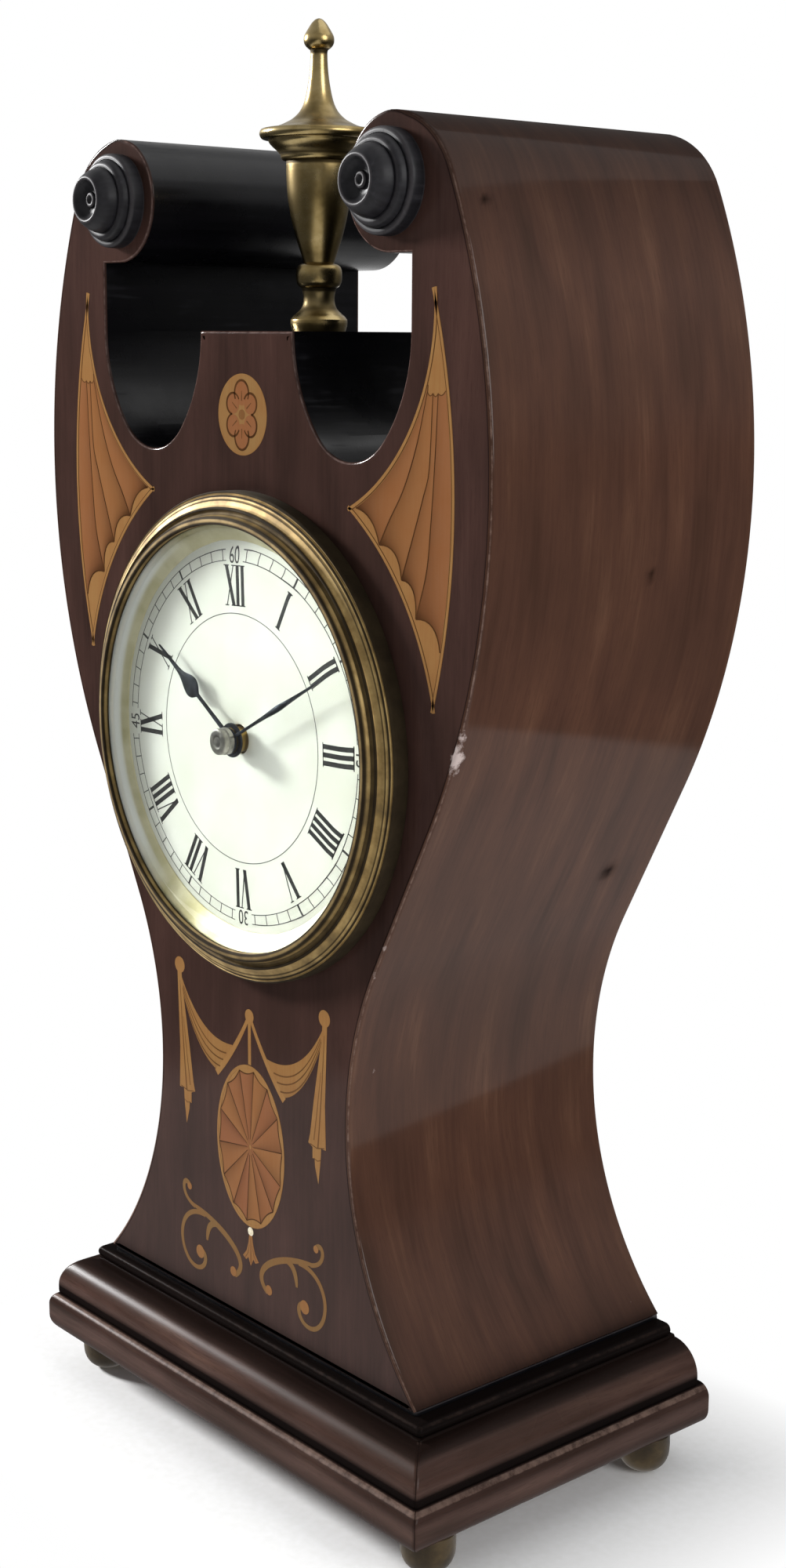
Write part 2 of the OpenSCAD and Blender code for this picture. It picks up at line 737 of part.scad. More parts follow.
module hand_collet() {
  color(steel) on_dial() difference() {
    rotate_extrude() polygon([[0, 4.2], [2.65, 4.2], [2.75, 4.35], [2.75, 5.2], [2.55, 5.4],
      [2.65, 5.6], [2.65, tip_p - 0.3], [2.3, tip_p], [0, tip_p]]);
    translate([0, 0, 3]) cylinder(h = 2.6, r = pipe_r);
  }
}

module cannon_pinion() {
  color(steel) on_dial() difference() {
    union() {
      translate([0, 0, -3.5]) rotate(minute_a + 180 / cannon_n) linear_extrude(1.5)
          leaf_teeth(cannon_n, minute_m);
      translate([0, 0, -3.5]) cylinder(h = 7.7, r = cannon_r);
    }
    translate([0, 0, -4]) cylinder(h = 9, r = pipe_r);
  }
}

module centre_arbor() {
  color(steel) on_dial() translate([0, 0, drum_back - 6]) cylinder(h = 5.6 - drum_back + 6, r = pipe_r);
}

module set_knob() {
  color(gilt) on_dial() translate([0, 0, drum_back - 7]) difference() {
    union() {
      cylinder(h = 3, r = knob_r - 0.4);
      translate([0, 0, 0.8]) linear_extrude(1.6) difference() {
        circle(knob_r);
        for (a = [0:30:359]) rotate(a) translate([knob_r + 0.2, 0]) circle(0.7);
      }
      cylinder(h = 6, r = 2.2);
    }
    translate([0, 0, 1]) cylinder(h = 8, r = pipe_r);
  }
}

module minute_wheel() {
  color(gilt) on_dial() translate(minute_wheel_at) difference() {
    union() {
      translate([0, 0, -3.3]) rotate(minute_a + 180) linear_extrude(1.1) wheel_teeth(minute_n, minute_m);
      translate([0, 0, -2.3]) rotate(minute_a + 180 + 180 / hour_leaf) linear_extrude(1.9)
          leaf_teeth(hour_leaf, hour_m);
    }
    translate([0, 0, -4]) cylinder(h = 6, r = 0.8 + run_c);
  }
}

module barrel() {
  color(gilt) on_dial() translate([barrel_at[0], barrel_at[1], gap_top]) difference() {
    union() {
      translate([0, 0, -2.3]) rotate(90) linear_extrude(1.5) wheel_teeth(great_n, great_m);
      translate([0, 0, -14]) cylinder(h = 13.2, r = 14.2);
    }
    translate([0, 0, -13]) cylinder(h = 11, r = 13.4);
    translate([0, 0, -16]) cylinder(h = 18, r = 2 + run_c);
  }
}

module barrel_arbor() {
  color(steel) on_dial() translate([barrel_at[0], barrel_at[1], 0]) {
    translate([0, 0, back_end - 1.6]) cylinder(h = plate_p - back_end + 1.6, r = 2);
    translate([0, 0, gap_top - 11.9]) cylinder(h = 8.9, r = 4);
    translate([-1.6, -1.6, drum_back - 9]) cube([3.2, 3.2, back_end - drum_back + 7.45]);
  }
}

module ratchet_wheel() {
  color(steel) on_dial() translate([barrel_at[0], barrel_at[1], back_end - 1.5])
      linear_extrude(1.2) difference() {
    polygon([for (k = [0:23], q = [[6.6, 0], [5.6, 2]]) q[0] * [cos(15 * k + q[1]), sin(15 * k + q[1])]]);
    circle(2);
  }
}

module winding_key() {
  color(gilt) on_dial() translate([barrel_at[0], barrel_at[1], drum_back - 18]) difference() {
    union() {
      cylinder(h = 16.4, r = 2.8);
      translate([0, 0, 1]) rotate([90, 0, 0]) translate([0, 0, -0.8]) linear_extrude(1.6) difference() {
        union() {
          for (s = [-1, 1]) translate([s * (key_w / 2 - 5), 3]) circle(5);
          translate([-key_w / 2 + 5, 0.5]) square([key_w - 10, 5]);
        }
        for (s = [-1, 1]) translate([s * (key_w / 2 - 4.6), 3]) circle(2.4);
      }
    }
    translate([-1.6, -1.6, 9]) cube([3.2, 3.2, 9]);
  }
}

module click() {
  color(steel) on_dial() translate([barrel_at[0] + 9.4, barrel_at[1] + 6, back_end - 1.5])
      linear_extrude(1.2) difference() {
    union() {
      circle(1.7);
      rotate(-116) polygon([[0, -1.2], [4.6, -0.9], [5.6, 0.2], [4.6, 0.7], [0, 1.2]]);
    }
    circle(0.8 + run_c);
  }
}

module centre_wheel() {
  color(gilt) on_dial() difference() {
    union() {
      translate([0, 0, gap_top - 17]) rotate(third_a) crossed_wheel(centre_n, centre_m, 1, 2.1);
      translate([0, 0, gap_top - 3.6]) rotate(-90 + 180 / barrel_leaf) linear_extrude(3.1)
          leaf_teeth(barrel_leaf, great_m);
      translate([0, 0, back_end]) cylinder(h = plate_p - back_end, r = 2.2);
    }
    translate([0, 0, back_end - 1]) cylinder(h = plate_p - back_end + 2, r = pipe_r + run_c);
  }
}

// Arbor with its pivots, from plate to plate
module train_arbor(r) {
  translate([0, 0, gap_end + 0.2]) cylinder(h = plate_gap - 0.4, r = r);
  translate([0, 0, back_end]) cylinder(h = plate_gap + 2 * plate_t, r = 0.5);
}

module third_wheel() {
  color(gilt) on_dial() translate(third_at) {
    train_arbor(0.8);
    translate([0, 0, gap_top - 5]) rotate(fourth_a) crossed_wheel(third_n, third_m, 1, 0.8);
    translate([0, 0, gap_top - 18]) rotate(third_a + 180 + 180 / leaf_n) linear_extrude(2.8)
        leaf_teeth(leaf_n, centre_m);
  }
}

module fourth_wheel() {
  color(gilt) on_dial() translate(fourth_at) {
    train_arbor(0.7);
    translate([0, 0, gap_top - 10.8]) rotate(escape_a) crossed_wheel(fourth_n, fourth_m, 0.8, 0.7);
    translate([0, 0, gap_top - 6]) rotate(fourth_a + 180 + 180 / leaf_n) linear_extrude(2.8)
        leaf_teeth(leaf_n, third_m);
  }
}

module escape_wheel() {
  color(steel) on_dial() translate(escape_at) {
    train_arbor(0.6);
    translate([0, 0, gap_top - 12]) rotate(escape_a + 180 + 180 / leaf_n) linear_extrude(2.8)
        leaf_teeth(leaf_n, fourth_m);
    translate([0, 0, gap_top - 15.6]) linear_extrude(0.6)
      polygon([for (k = [0:14], q = [[2.9, 0], [3.7, 7], [3.9, 11], [2.9, 9]])
        q[0] * [cos(24 * k + q[1]), sin(24 * k + q[1])]]);
  }
}

module lever() {
  to_balance = atan2((balance_at - lever_at)[1], (balance_at - lever_at)[0]);
  color(steel) on_dial() translate(lever_at) {
    train_arbor(0.6);
    translate([0, 0, gap_top - 15.6]) rotate(to_balance) linear_extrude(0.6) {
      circle(1.2);
      translate([0, -0.4]) square([5.6, 0.8]);
      translate([5.2, -1]) square([1, 2]);
      translate([-0.5, -3.2]) square([1, 6.4]);
    }
  }
}

module balance() {
  color(gilt) on_dial() translate(balance_at) {
    train_arbor(0.6);
    translate([0, 0, gap_top - 18.4]) linear_extrude(0.9) {
      difference() {
        circle(7.5);
        circle(6.3);
      }
      square([13.4, 1.1], center = true);
      circle(1.5);
    }
    translate([0, 0, gap_top - 17.6]) cylinder(h = 0.8, r = 1.8);
  }
}

hinge_x = 41.8;
hinge_p = -case_d - 1.3;
hinge_r = 1.2;
pin_r = 0.5;
door_r = 40;

module back_door() {
  color(gilt) difference() {
    union() {
      on_dial() translate([0, 0, -case_d - 1.2]) cylinder(h = 1.2, r = door_r);
      on_dial() translate([hinge_x, -2.8, hinge_p]) rotate([-90, 0, 0]) cylinder(h = 5.6, r = hinge_r);
      on_dial() translate([door_r - 3, -2.8, -case_d - 1.2]) cube([hinge_x - door_r + 3, 5.6, 1]);
    }
    on_dial() translate([hinge_x, -9, hinge_p]) rotate([-90, 0, 0]) cylinder(h = 18, r = pin_r + run_c);
    on_dial() translate([-36, 0, -case_d - 3]) cylinder(h = 4, r = 0.8);
  }
}

module door_hinge() {
  color(gilt) on_dial() difference() {
    union() {
      translate([hinge_x + 0.6, -8, -case_d - 0.9]) cube([4.4, 16, 0.9]);
      for (y = [-8, 3]) translate([hinge_x, y, hinge_p]) rotate([-90, 0, 0]) cylinder(h = 5, r = hinge_r);
    }
    translate([hinge_x - 2, -2.95, -case_d - 3]) cube([3.4, 5.9, 4]);
    translate([hinge_x, -9, hinge_p]) rotate([-90, 0, 0]) cylinder(h = 18, r = pin_r);
  }
}

module hinge_pin() {
  color(steel) on_dial() translate([hinge_x, -8.4, hinge_p]) rotate([-90, 0, 0])
      cylinder(h = 16.8, r = pin_r);
}

module door_knob() {
  color(gilt) on_dial() translate([-36, 0, -case_d - 1.2]) {
    translate([0, 0, -2]) cylinder(h = 0.9, r = 2);
    translate([0, 0, -1.2]) cylinder(h = 1.2, r = 1.1);
    cylinder(h = 1.2, r = 0.8);
  }
}

bun_feet();
foot_studs();
plinth_slab();
plinth_ovolo();
plinth_bead();
base_fillet();
front_board();
back_board();
left_side();
right_side();
left_horn();
right_horn();
left_throat();
right_throat();
pediment_block();
left_roundel();
right_roundel();
finial_foot();
finial_urn();
finial_cover();
finial_rod();
shell_inlays();
patera_inlay();
swag_inlay();
oval_inlay();
scroll_inlays();
bezel();
glass();
sight_ring();
dial();
drum_shell();
clamp_ring();
clamp_screws();
front_plate();
back_plate();
pillars();
movement_screws();
hour_hand();
hour_wheel();
minute_hand();
hand_collet();
cannon_pinion();
centre_arbor();
set_knob();
minute_wheel();
barrel();
barrel_arbor();
ratchet_wheel();
winding_key();
click();
centre_wheel();
third_wheel();
fourth_wheel();
escape_wheel();
lever();
balance();
back_door();
door_hinge();
hinge_pin();
door_knob();
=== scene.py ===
import math

import bmesh
import bpy
import numpy as np
from mathutils import Matrix, Vector
from mathutils.geometry import tessellate_polygon


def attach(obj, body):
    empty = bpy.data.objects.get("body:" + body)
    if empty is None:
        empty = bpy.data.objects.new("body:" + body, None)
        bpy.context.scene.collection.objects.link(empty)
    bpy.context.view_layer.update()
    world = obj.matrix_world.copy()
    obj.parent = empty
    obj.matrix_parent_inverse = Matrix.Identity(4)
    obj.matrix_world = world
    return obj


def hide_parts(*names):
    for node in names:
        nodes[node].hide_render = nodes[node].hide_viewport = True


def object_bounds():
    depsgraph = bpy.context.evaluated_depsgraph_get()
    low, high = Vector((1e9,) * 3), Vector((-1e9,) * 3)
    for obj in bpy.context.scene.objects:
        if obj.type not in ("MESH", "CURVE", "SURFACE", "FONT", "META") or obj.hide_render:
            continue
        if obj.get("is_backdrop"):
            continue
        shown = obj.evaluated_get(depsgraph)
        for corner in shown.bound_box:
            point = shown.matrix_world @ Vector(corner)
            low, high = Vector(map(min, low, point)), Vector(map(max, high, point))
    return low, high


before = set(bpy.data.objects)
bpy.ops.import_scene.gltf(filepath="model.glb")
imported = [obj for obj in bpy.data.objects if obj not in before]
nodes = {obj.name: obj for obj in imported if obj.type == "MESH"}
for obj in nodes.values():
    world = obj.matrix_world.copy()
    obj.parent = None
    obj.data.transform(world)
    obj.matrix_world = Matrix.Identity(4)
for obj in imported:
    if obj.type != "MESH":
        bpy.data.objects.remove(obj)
cad_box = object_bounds()
scene = bpy.context.scene


# Bun feet: four cast and turned brass feet, screwed into the slab on steel studs.
# They are flattened balls, polished once and now dull, with dirt up under the slab; their brass is painted
# very dark as shade under the slab.
MM = 0.001
FOOT_X, FOOT_Y, FOOT_H = 57.34, 31.05, 9.0


def colour(code):
    """Linear values of an sRGB hex colour."""
    parts = [int(code[k:k + 2], 16) / 255 for k in (1, 3, 5)]
    return [p / 12.92 if p < 0.04045 else ((p + 0.055) / 1.055) ** 2.4 for p in parts] + [1.0]


def add(tree, kind, links=None, stops=(), **settings):
    """Adds a node; links gives its inputs, by name or number, a value, a socket or a node's output in use."""
    node = tree.nodes.new("ShaderNode" + kind)
    for name, value in settings.items():
        setattr(node, name, value)
    for place, value in (links or {}).items():
        named = [k for k in node.inputs if k.name == place and k.enabled]
        socket = named[0] if named else node.inputs[place]
        if isinstance(value, bpy.types.Node):
            value = next(k for k in value.outputs if k.enabled)
        if isinstance(value, bpy.types.NodeSocket):
            tree.links.new(value, socket)
        else:
            socket.default_value = value
    for k, (at, tint) in enumerate(stops):
        spots = node.color_ramp.elements
        spot = spots[k] if k < 2 else spots.new(at)
        spot.position, spot.color = at, colour(tint) if isinstance(tint, str) else (tint, tint, tint, 1)
    return node


def new_material(name):
    """An empty material and its tree of nodes."""
    material = bpy.data.materials.new(name)
    material.use_nodes = True
    material.node_tree.nodes.clear()
    return material, material.node_tree


def rounded(points, steps=6):
    """Smooth line through points; a point with a third value is a corner that stays sharp."""
    path, run = [], []
    for k, point in enumerate(points):
        run.append(np.array(point[:2], float))
        if len(point) > 2 or k == len(points) - 1:
            ends = [2 * run[0] - run[1]] + run + [2 * run[-1] - run[-2]] if len(run) > 1 else []
            for a, b, c, d in zip(ends, ends[1:], ends[2:], ends[3:]):
                for t in np.arange(steps) / steps:
                    path.append(0.5 * (2 * b + (c - a) * t + (2 * a - 5 * b + 4 * c - d) * t * t
                                       + (3 * b - a - 3 * c + d) * t ** 3))
            run = [run[-1]]
    path.append(np.array(points[-1][:2], float))
    return np.array(path)


def lengths(path):
    """Distance gone along a line at each of its points."""
    return np.concatenate([[0], np.cumsum(np.linalg.norm(np.diff(path, axis=0), axis=1))])


def points_at(path, gone):
    """Points of a line at distances along it."""
    known = lengths(path)
    return np.stack([np.interp(gone, known, path[:, 0]), np.interp(gone, known, path[:, 1])], 1)


def hollow(path, reach, depth, closed=False):
    """How far each point of a section lies in a hollow (above 0) or on a ridge (below 0)."""
    gone = lengths(path)
    ends = [gone - reach, gone + reach]
    before, after = [points_at(path, end % gone[-1] if closed else np.clip(end, 0, gone[-1])) for end in ends]
    way = after - before
    out = np.stack([way[:, 1], -way[:, 0]], 1) / np.maximum(np.linalg.norm(way, axis=1), 1e-9)[:, None]
    return np.clip((((before + after) / 2 - path) * out).sum(1) / depth, -1, 1)


def turned(path, place, closed=False, steps=96, seat=0.6):
    """Turns a section (radius, distance along the axis) about the axis that place puts in the world."""
    verts, faces, recess, rows = [], [], [], []
    for (r, z), dip in zip(path, hollow(path, seat, seat * 0.35, closed)):
        count = 1 if r < 1e-6 else steps
        rows.append((len(verts), count))
        for k in range(count):
            turn = 2 * math.pi * k / steps
            verts.append(place(r * math.cos(turn), r * math.sin(turn), z))
            recess.append(dip)
    pairs = list(zip(rows, rows[1:])) + ([(rows[-1], rows[0])] if closed else [])
    for (a, m), (b, n) in pairs:
        for k in range(steps):
            face = [a + k % m, a + (k + 1) % m, b + (k + 1) % n, b + k % n]
            face = list(dict.fromkeys(face))
            if len(face) > 2:
                faces.append(face)
    return verts, faces, {"recess": recess}


def together(*shapes):
    """Joins shapes, each with its points, faces and attributes, into one."""
    verts, faces, marks = [], [], {}
    for points, sides, extra in shapes:
        faces += [[k + len(verts) for k in face] for face in sides]
        verts += list(points)
        for name, values in extra.items():
            marks.setdefault(name, []).extend(values)
    return verts, faces, marks


def piece(name, shape, materials, body, replaced, sharp=35, stuff=None, even=False):
    """Makes the mesh object of a piece, in metres, ties it to its body and hides the CAD nodes it replaces.
    """
    verts, faces, marks = shape
    mesh = bpy.data.meshes.new(name)
    mesh.from_pydata([Vector(v) * MM for v in verts], [], [list(f) for f in faces])
    if stuff is not None:
        mesh.polygons.foreach_set("material_index", np.array(stuff, np.int32))
    for mark, values in marks.items():
        flat = np.array(values, np.float32)
        kind = "FLOAT_VECTOR" if flat.ndim == 2 else "FLOAT"
        mesh.attributes.new(mark, kind, "POINT").data.foreach_set(
            "vector" if flat.ndim == 2 else "value", flat.ravel())
    work = bmesh.new()
    work.from_mesh(mesh)
    bmesh.ops.recalc_face_normals(work, faces=work.faces)
    work.to_mesh(mesh)
    work.free()
    mesh.shade_smooth()
    mesh.set_sharp_from_angle(angle=math.radians(sharp))
    for material in materials:
        mesh.materials.append(material)
    made = bpy.data.objects.new(name, mesh)
    scene.collection.objects.link(made)
    if even:
        made.modifiers.new("even_faces", "WEIGHTED_NORMAL").keep_sharp = True
    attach(made, body)
    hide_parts(*replaced)
    return made


def pitch(*sizes):
    """Scales that make a pattern repeat at sizes in millimetres."""
    return [1 / (size * MM) for size in sizes]


def brass(name, dark, body, bright, rough, blotch, darkening, metal=1.0):
    """Cast or sheet brass: warm yellow metal in clouds of blotch mm, brown where dirt sits in hollows and
    where a piece marks painted shade.
    """
    material, tree = new_material(name)
    spot = add(tree, "TexCoord").outputs["Object"]
    cloud = add(tree, "TexNoise", {"Vector": spot, "Scale": 1 / (blotch * MM), "Detail": 4, "Roughness": 0.6})
    speck = add(tree, "TexNoise", {"Vector": spot, "Scale": 1 / (0.7 * MM), "Detail": 2})
    # Turning marks 0.4 mm apart run round each turned part, so they are drawn as fine level streaks
    stretch = add(tree, "Mapping", {"Vector": spot, "Scale": pitch(11.11, 11.11, 0.4167)})
    lines = add(tree, "TexNoise", {"Vector": stretch, "Scale": 1, "Detail": 2})
    tint = add(tree, "ValToRGB", {"Fac": cloud}, [(0.3, dark), (0.62, bright), (0.47, body)])
    dip = add(tree, "Attribute", attribute_name="recess").outputs["Fac"]
    darkened = add(tree, "MapRange", {"Value": dip, "From Min": 0.05, "From Max": 0.6, "To Max": darkening})
    skin = add(tree, "Mix", {"Factor": darkened, "A": tint, "B": colour("#1d140a")}, data_type="RGBA")
    gleam = add(tree, "MapRange", {"Value": cloud, "From Min": 0.3, "From Max": 0.7,
                                   "To Min": rough + 0.12, "To Max": rough})
    coarse = add(tree, "Math", {0: darkened, 1: 0.35, 2: gleam}, operation="MULTIPLY_ADD")
    marks = add(tree, "Math", {0: lines, 1: 0.6, 2: speck}, operation="MULTIPLY_ADD")
    bump = add(tree, "Bump", {"Strength": 0.12, "Distance": 0.05 * MM, "Height": marks})
    shader = add(tree, "BsdfPrincipled", {"Base Color": skin, "Metallic": metal,
                                          "Roughness": coarse, "Normal": bump})
    add(tree, "OutputMaterial", {"Surface": shader})
    return material


# Very dark brown tints: dull aged brass with painted shade, as the feet stand in the slab's shadow
aged_shaded_brass = brass("brass_cast_aged_shaded", "#241c12", "#362b1a", "#493b24",
                   rough=0.48, blotch=7, darkening=0.85, metal=0.6)
foot_line = rounded([(0, 0, 1), (1.8, 0.0, 1), (3.4, 0.5), (4.7, 1.75), (5.4, 3.4), (5.6, 5.3), (5.6, 7.0),
                     (5.58, 8.3, 1), (5.4, 8.5, 1), (5.4, 8.75), (5.5, FOOT_H, 1), (0, FOOT_H, 1)])
feet = [turned(foot_line, lambda x, y, z, cx=cx, cy=cy: (cx + x, cy + y, z), steps=64)
        for cx in (-FOOT_X, FOOT_X) for cy in (-FOOT_Y, FOOT_Y)]
piece("bun_feet", together(*feet), [aged_shaded_brass], "case", ["bun_feet"])


# Foot studs: plain steel studs that hold the feet to the slab, out of sight in the wood.
# Turned bar, bright when new and grey now.
def steel(name, dark, bright, rough):
    """Polished steel bar: neutral grey metal with fine draw marks and a few duller patches."""
    material, tree = new_material(name)
    spot = add(tree, "TexCoord").outputs["Object"]
    cloud = add(tree, "TexNoise", {"Vector": spot, "Scale": 1 / (3 * MM), "Detail": 4})
    # Draw marks about 0.3 mm apart and 3 mm long, from front to back as the arbors lie
    stretch = add(tree, "Mapping", {"Vector": spot, "Scale": pitch(0.303, 3.333, 0.303)})
    lines = add(tree, "TexNoise", {"Vector": stretch, "Scale": 1, "Detail": 1})
    tint = add(tree, "ValToRGB", {"Fac": cloud}, [(0.35, dark), (0.65, bright)])
    gleam = add(tree, "MapRange", {"Value": lines, "To Min": rough, "To Max": rough + 0.15})
    bump = add(tree, "Bump", {"Strength": 0.1, "Distance": 0.02 * MM, "Height": lines})
    shader = add(tree, "BsdfPrincipled", {"Base Color": tint, "Metallic": 1.0, "Roughness": gleam,
                                          "Normal": bump})
    add(tree, "OutputMaterial", {"Surface": shader})
    return material


bright_steel = steel("steel_bar_polished", "#6d6f72", "#a4a6a8", rough=0.2)


def dress(material, *names):
    """Gives CAD nodes that keep their own shape a finish."""
    for name in names:
        nodes[name].data.materials.clear()
        nodes[name].data.materials.append(material)


dress(bright_steel, "foot_studs")


# Bottom slab: a solid mahogany board under the whole clock, its front and side edges rounded over.
# Stained and polished; the corners are rubbed pale and the mitred edging has opened at the front right.
def mahogany(name, tints, worn, rough, gloss, streak):
    """French-polished mahogany: soft red-brown streaks, short dark pores, cloudy stain, a thin gloss."""
    material, tree = new_material(name)
    grain = add(tree, "Attribute", attribute_name="grain").outputs["Vector"]
    # The grain wanders about 3 mm over each 45 mm of length
    sway = add(tree, "Mapping", {"Vector": grain, "Scale": pitch(45.45, 25, 25)})
    bend = add(tree, "TexNoise", {"Vector": sway, "Scale": 1, "Detail": 1}).outputs["Color"]
    line = add(tree, "VectorMath", {0: bend, 1: (0, 3 * MM, 3 * MM), 2: grain}, operation="MULTIPLY_ADD")
    # Broad soft streaks about 40 mm long and streak mm wide
    broad = add(tree, "Mapping", {"Vector": line, "Scale": pitch(40, streak, streak)})
    figure = add(tree, "TexNoise", {"Vector": broad, "Scale": 1, "Detail": 3, "Roughness": 0.5})
    # Thin streaks 1 mm wide and 25 mm long
    thin = add(tree, "Mapping", {"Vector": line, "Scale": pitch(25, 1, 1)})
    streaks = add(tree, "TexNoise", {"Vector": thin, "Scale": 1, "Detail": 4, "Roughness": 0.6})
    # Pores 0.25 mm wide and 3 mm long
    short = add(tree, "Mapping", {"Vector": line, "Scale": pitch(3.03, 0.25, 0.25)})
    pores = add(tree, "TexNoise", {"Vector": short, "Scale": 1, "Detail": 1})
    depth = add(tree, "ValToRGB", {"Fac": pores}, [(0.3, 0.0), (0.45, 1.0)])
    # Stain lies in clouds about 45 mm across
    cloud = add(tree, "TexNoise", {"Vector": grain, "Scale": 1 / (45 * MM), "Detail": 3})
    both = add(tree, "Math", {0: streaks, 1: 0.3}, operation="MULTIPLY")
    tone = add(tree, "Math", {0: figure, 1: 0.7, 2: both}, operation="MULTIPLY_ADD")
    wood = add(tree, "ValToRGB", {"Fac": tone}, [(0.32, tints[0]), (0.68, tints[3]), (0.46, tints[1]),
                                                (0.56, tints[2])])
    deep = add(tree, "Mix", {"Factor": depth, "A": colour(tints[0]), "B": wood}, data_type="RGBA")
    pored = add(tree, "Mix", {"Factor": 0.3, "A": wood, "B": deep}, data_type="RGBA")
    stained = add(tree, "MapRange", {"Value": cloud, "From Min": 0.35, "From Max": 0.65, "To Max": 0.45})
    shade = add(tree, "Mix", {"Factor": stained, "A": pored, "B": colour(tints[0])}, data_type="RGBA")
    # Polish rubbed off along edges, broken up at about 2 mm; on the slab's top rounding the same pale mix is
    # a painted highlight line
    rub = add(tree, "TexNoise", {"Vector": grain, "Scale": 1 / (2.2 * MM), "Detail": 4, "Roughness": 0.7})
    edge = add(tree, "Attribute", attribute_name="wear_and_highlight").outputs["Fac"]
    bare = add(tree, "Math", {0: edge, 1: rub}, operation="MULTIPLY")
    bared = add(tree, "MapRange", {"Value": bare, "From Min": 0.26, "From Max": 0.6, "To Max": 0.9})
    rubbed = add(tree, "Mix", {"Factor": bared, "A": shade, "B": colour(worn)}, data_type="RGBA")
    # Darker where the darkening mark says: wax and dirt in hollows, open joints and holes, darker towards the
    # foot of the case and the crown, and painted shade and painted dark reflection on the plinth mouldings
    dirt = add(tree, "Attribute", attribute_name="darkening").outputs["Fac"]
    darkened_wood = add(tree, "Mix", {"Factor": dirt, "A": rubbed, "B": colour("#0b0909")}, data_type="RGBA")
    # White filler in chips and dents
    chip = add(tree, "Attribute", attribute_name="chip").outputs["Fac"]
    torn = add(tree, "Math", {0: chip, 1: rub}, operation="MULTIPLY")
    open_chip = add(tree, "MapRange", {"Value": torn, "From Min": 0.3, "From Max": 0.45})
    skin = add(tree, "Mix", {"Factor": open_chip, "A": darkened_wood, "B": colour("#b9a9a4")}, data_type="RGBA")
    dull = add(tree, "MapRange", {"Value": cloud, "From Min": 0.3, "From Max": 0.7,
                                  "To Min": rough, "To Max": rough + 0.06})
    relief = add(tree, "Math", {0: streaks, 1: 0.4, 2: depth}, operation="MULTIPLY_ADD")
    bump = add(tree, "Bump", {"Strength": 0.06, "Distance": 0.04 * MM, "Height": relief})
    clean = add(tree, "Math", {0: dirt, 1: -gloss, 2: gloss}, operation="MULTIPLY_ADD")
    shader = add(tree, "BsdfPrincipled", {"Base Color": skin, "Roughness": 0.6, "Normal": bump,
                                          "IOR": 1.5, "Specular IOR Level": 0.0, "Coat Weight": clean,
                                          "Coat Roughness": dull, "Coat Normal": bump})
    add(tree, "OutputMaterial", {"Surface": shader})
    return material


plinth_wood = mahogany("mahogany_solid_polished", ["#302119", "#45312a", "#503a33", "#61493f"],
                       worn="#8a7165", rough=0.22, gloss=0.28, streak=6)


SLAB_X, SLAB_Y, SLAB_TOP = 65.74, 42.05, 18.5
MITRE_R = 0.8


def loops(rows, count):
    """Faces between closed loops of points that follow one another."""
    return [[a + k, a + (k + 1) % count, a + count + (k + 1) % count, a + count + k]
            for a in range(0, (rows - 1) * count, count) for k in range(count)]


def ends(rows, count):
    """The two faces that close the first and the last loop."""
    return [list(range(count)), list(range((rows - 1) * count, rows * count))]


def course(half, front, back, section):
    """A moulding round the front and sides: loops of the plan at each inset and height of its section."""
    verts, grain, wear_and_highlight, darkening = [], [], [], []
    for (inset, z), dip in zip(section, hollow(section, 0.9, 0.3)):
        w, f = half - inset, front + inset
        # Each point holds its place, whether it lies on a side, and how near it is to the mitre
        face = [(x, f, 0, 0) for x in np.linspace(-w + MITRE_R, w - MITRE_R, 60)]
        mitre = []
        for k in range(1, 8):
            a = math.radians(90 - 11.25 * k)
            x, y = w - MITRE_R + MITRE_R * math.cos(a), f + MITRE_R - MITRE_R * math.sin(a)
            mitre.append((x, y, k > 3, 1 - abs(k - 4) / 4))
        side = [(w, y, 1, 0) for y in np.linspace(f + MITRE_R, back, 44)]
        rear = [(x, back, 0, 0) for x in np.linspace(w, -w, 12)[1:-1]]
        ring = face + mitre + side + rear
        ring += [(-x, y, aside, corner) for x, y, aside, corner in (mitre + side)[::-1]]
        for x, y, aside, corner in ring:
            verts.append((x, y, z))
            grain.append((y * MM, x * MM, z * MM) if aside else (x * MM, y * MM, z * MM))
            wear_and_highlight.append(max(0, -dip) * 0.75 + 0.8 * (0 < corner < 0.8))
            darkening.append(max(max(0, dip) * 0.9, 0.9 * (corner > 0.8 and x > 0)))
    faces = loops(len(section), len(ring)) + ends(len(section), len(ring))
    return verts, faces, {"grain": grain, "wear_and_highlight": wear_and_highlight, "darkening": darkening, "chip": [0.0] * len(verts)}


def quarter(cx, cz, r, start, end, count):
    """Part of a circle in a moulding's section, between two angles."""
    return [(cx + r * math.cos(math.radians(a)), cz + r * math.sin(math.radians(a)))
            for a in np.linspace(start, end, count)]


slab_line = np.array([(7, FOOT_H), (5, FOOT_H)] + quarter(3.8, FOOT_H + 3.8, 3.8, 270, 180, 10)
                     + [(0, 13.6), (0, 14.9)] + quarter(2.8, SLAB_TOP - 2.8, 2.8, 180, 90, 10)
                     + [(3.4, SLAB_TOP), (8, SLAB_TOP)])
slab = course(SLAB_X, -SLAB_Y, SLAB_Y, slab_line)
EDGE_BAND = 1.6
# Painted light on the slab: the ledge under the ovolo is painted black as shade, and a pale line along the
# middle of the top rounding is a painted highlight over wear
for k, (x, y, z) in enumerate(slab[0]):
    inset = min(SLAB_X - abs(x), y + SLAB_Y)
    shade_under_ovolo = z > SLAB_TOP - 0.2 and inset > EDGE_BAND
    rubbed_highlight_line = z > SLAB_TOP - 1.1 and inset < EDGE_BAND
    slab[2]["darkening"][k] = max(slab[2]["darkening"][k], 0.95 * shade_under_ovolo)
    slab[2]["wear_and_highlight"][k] = max(0.2 * slab[2]["wear_and_highlight"][k], 0.95 * rubbed_highlight_line)
piece("plinth_slab", slab, [plinth_wood], "case", ["plinth_slab"], sharp=50, even=True)
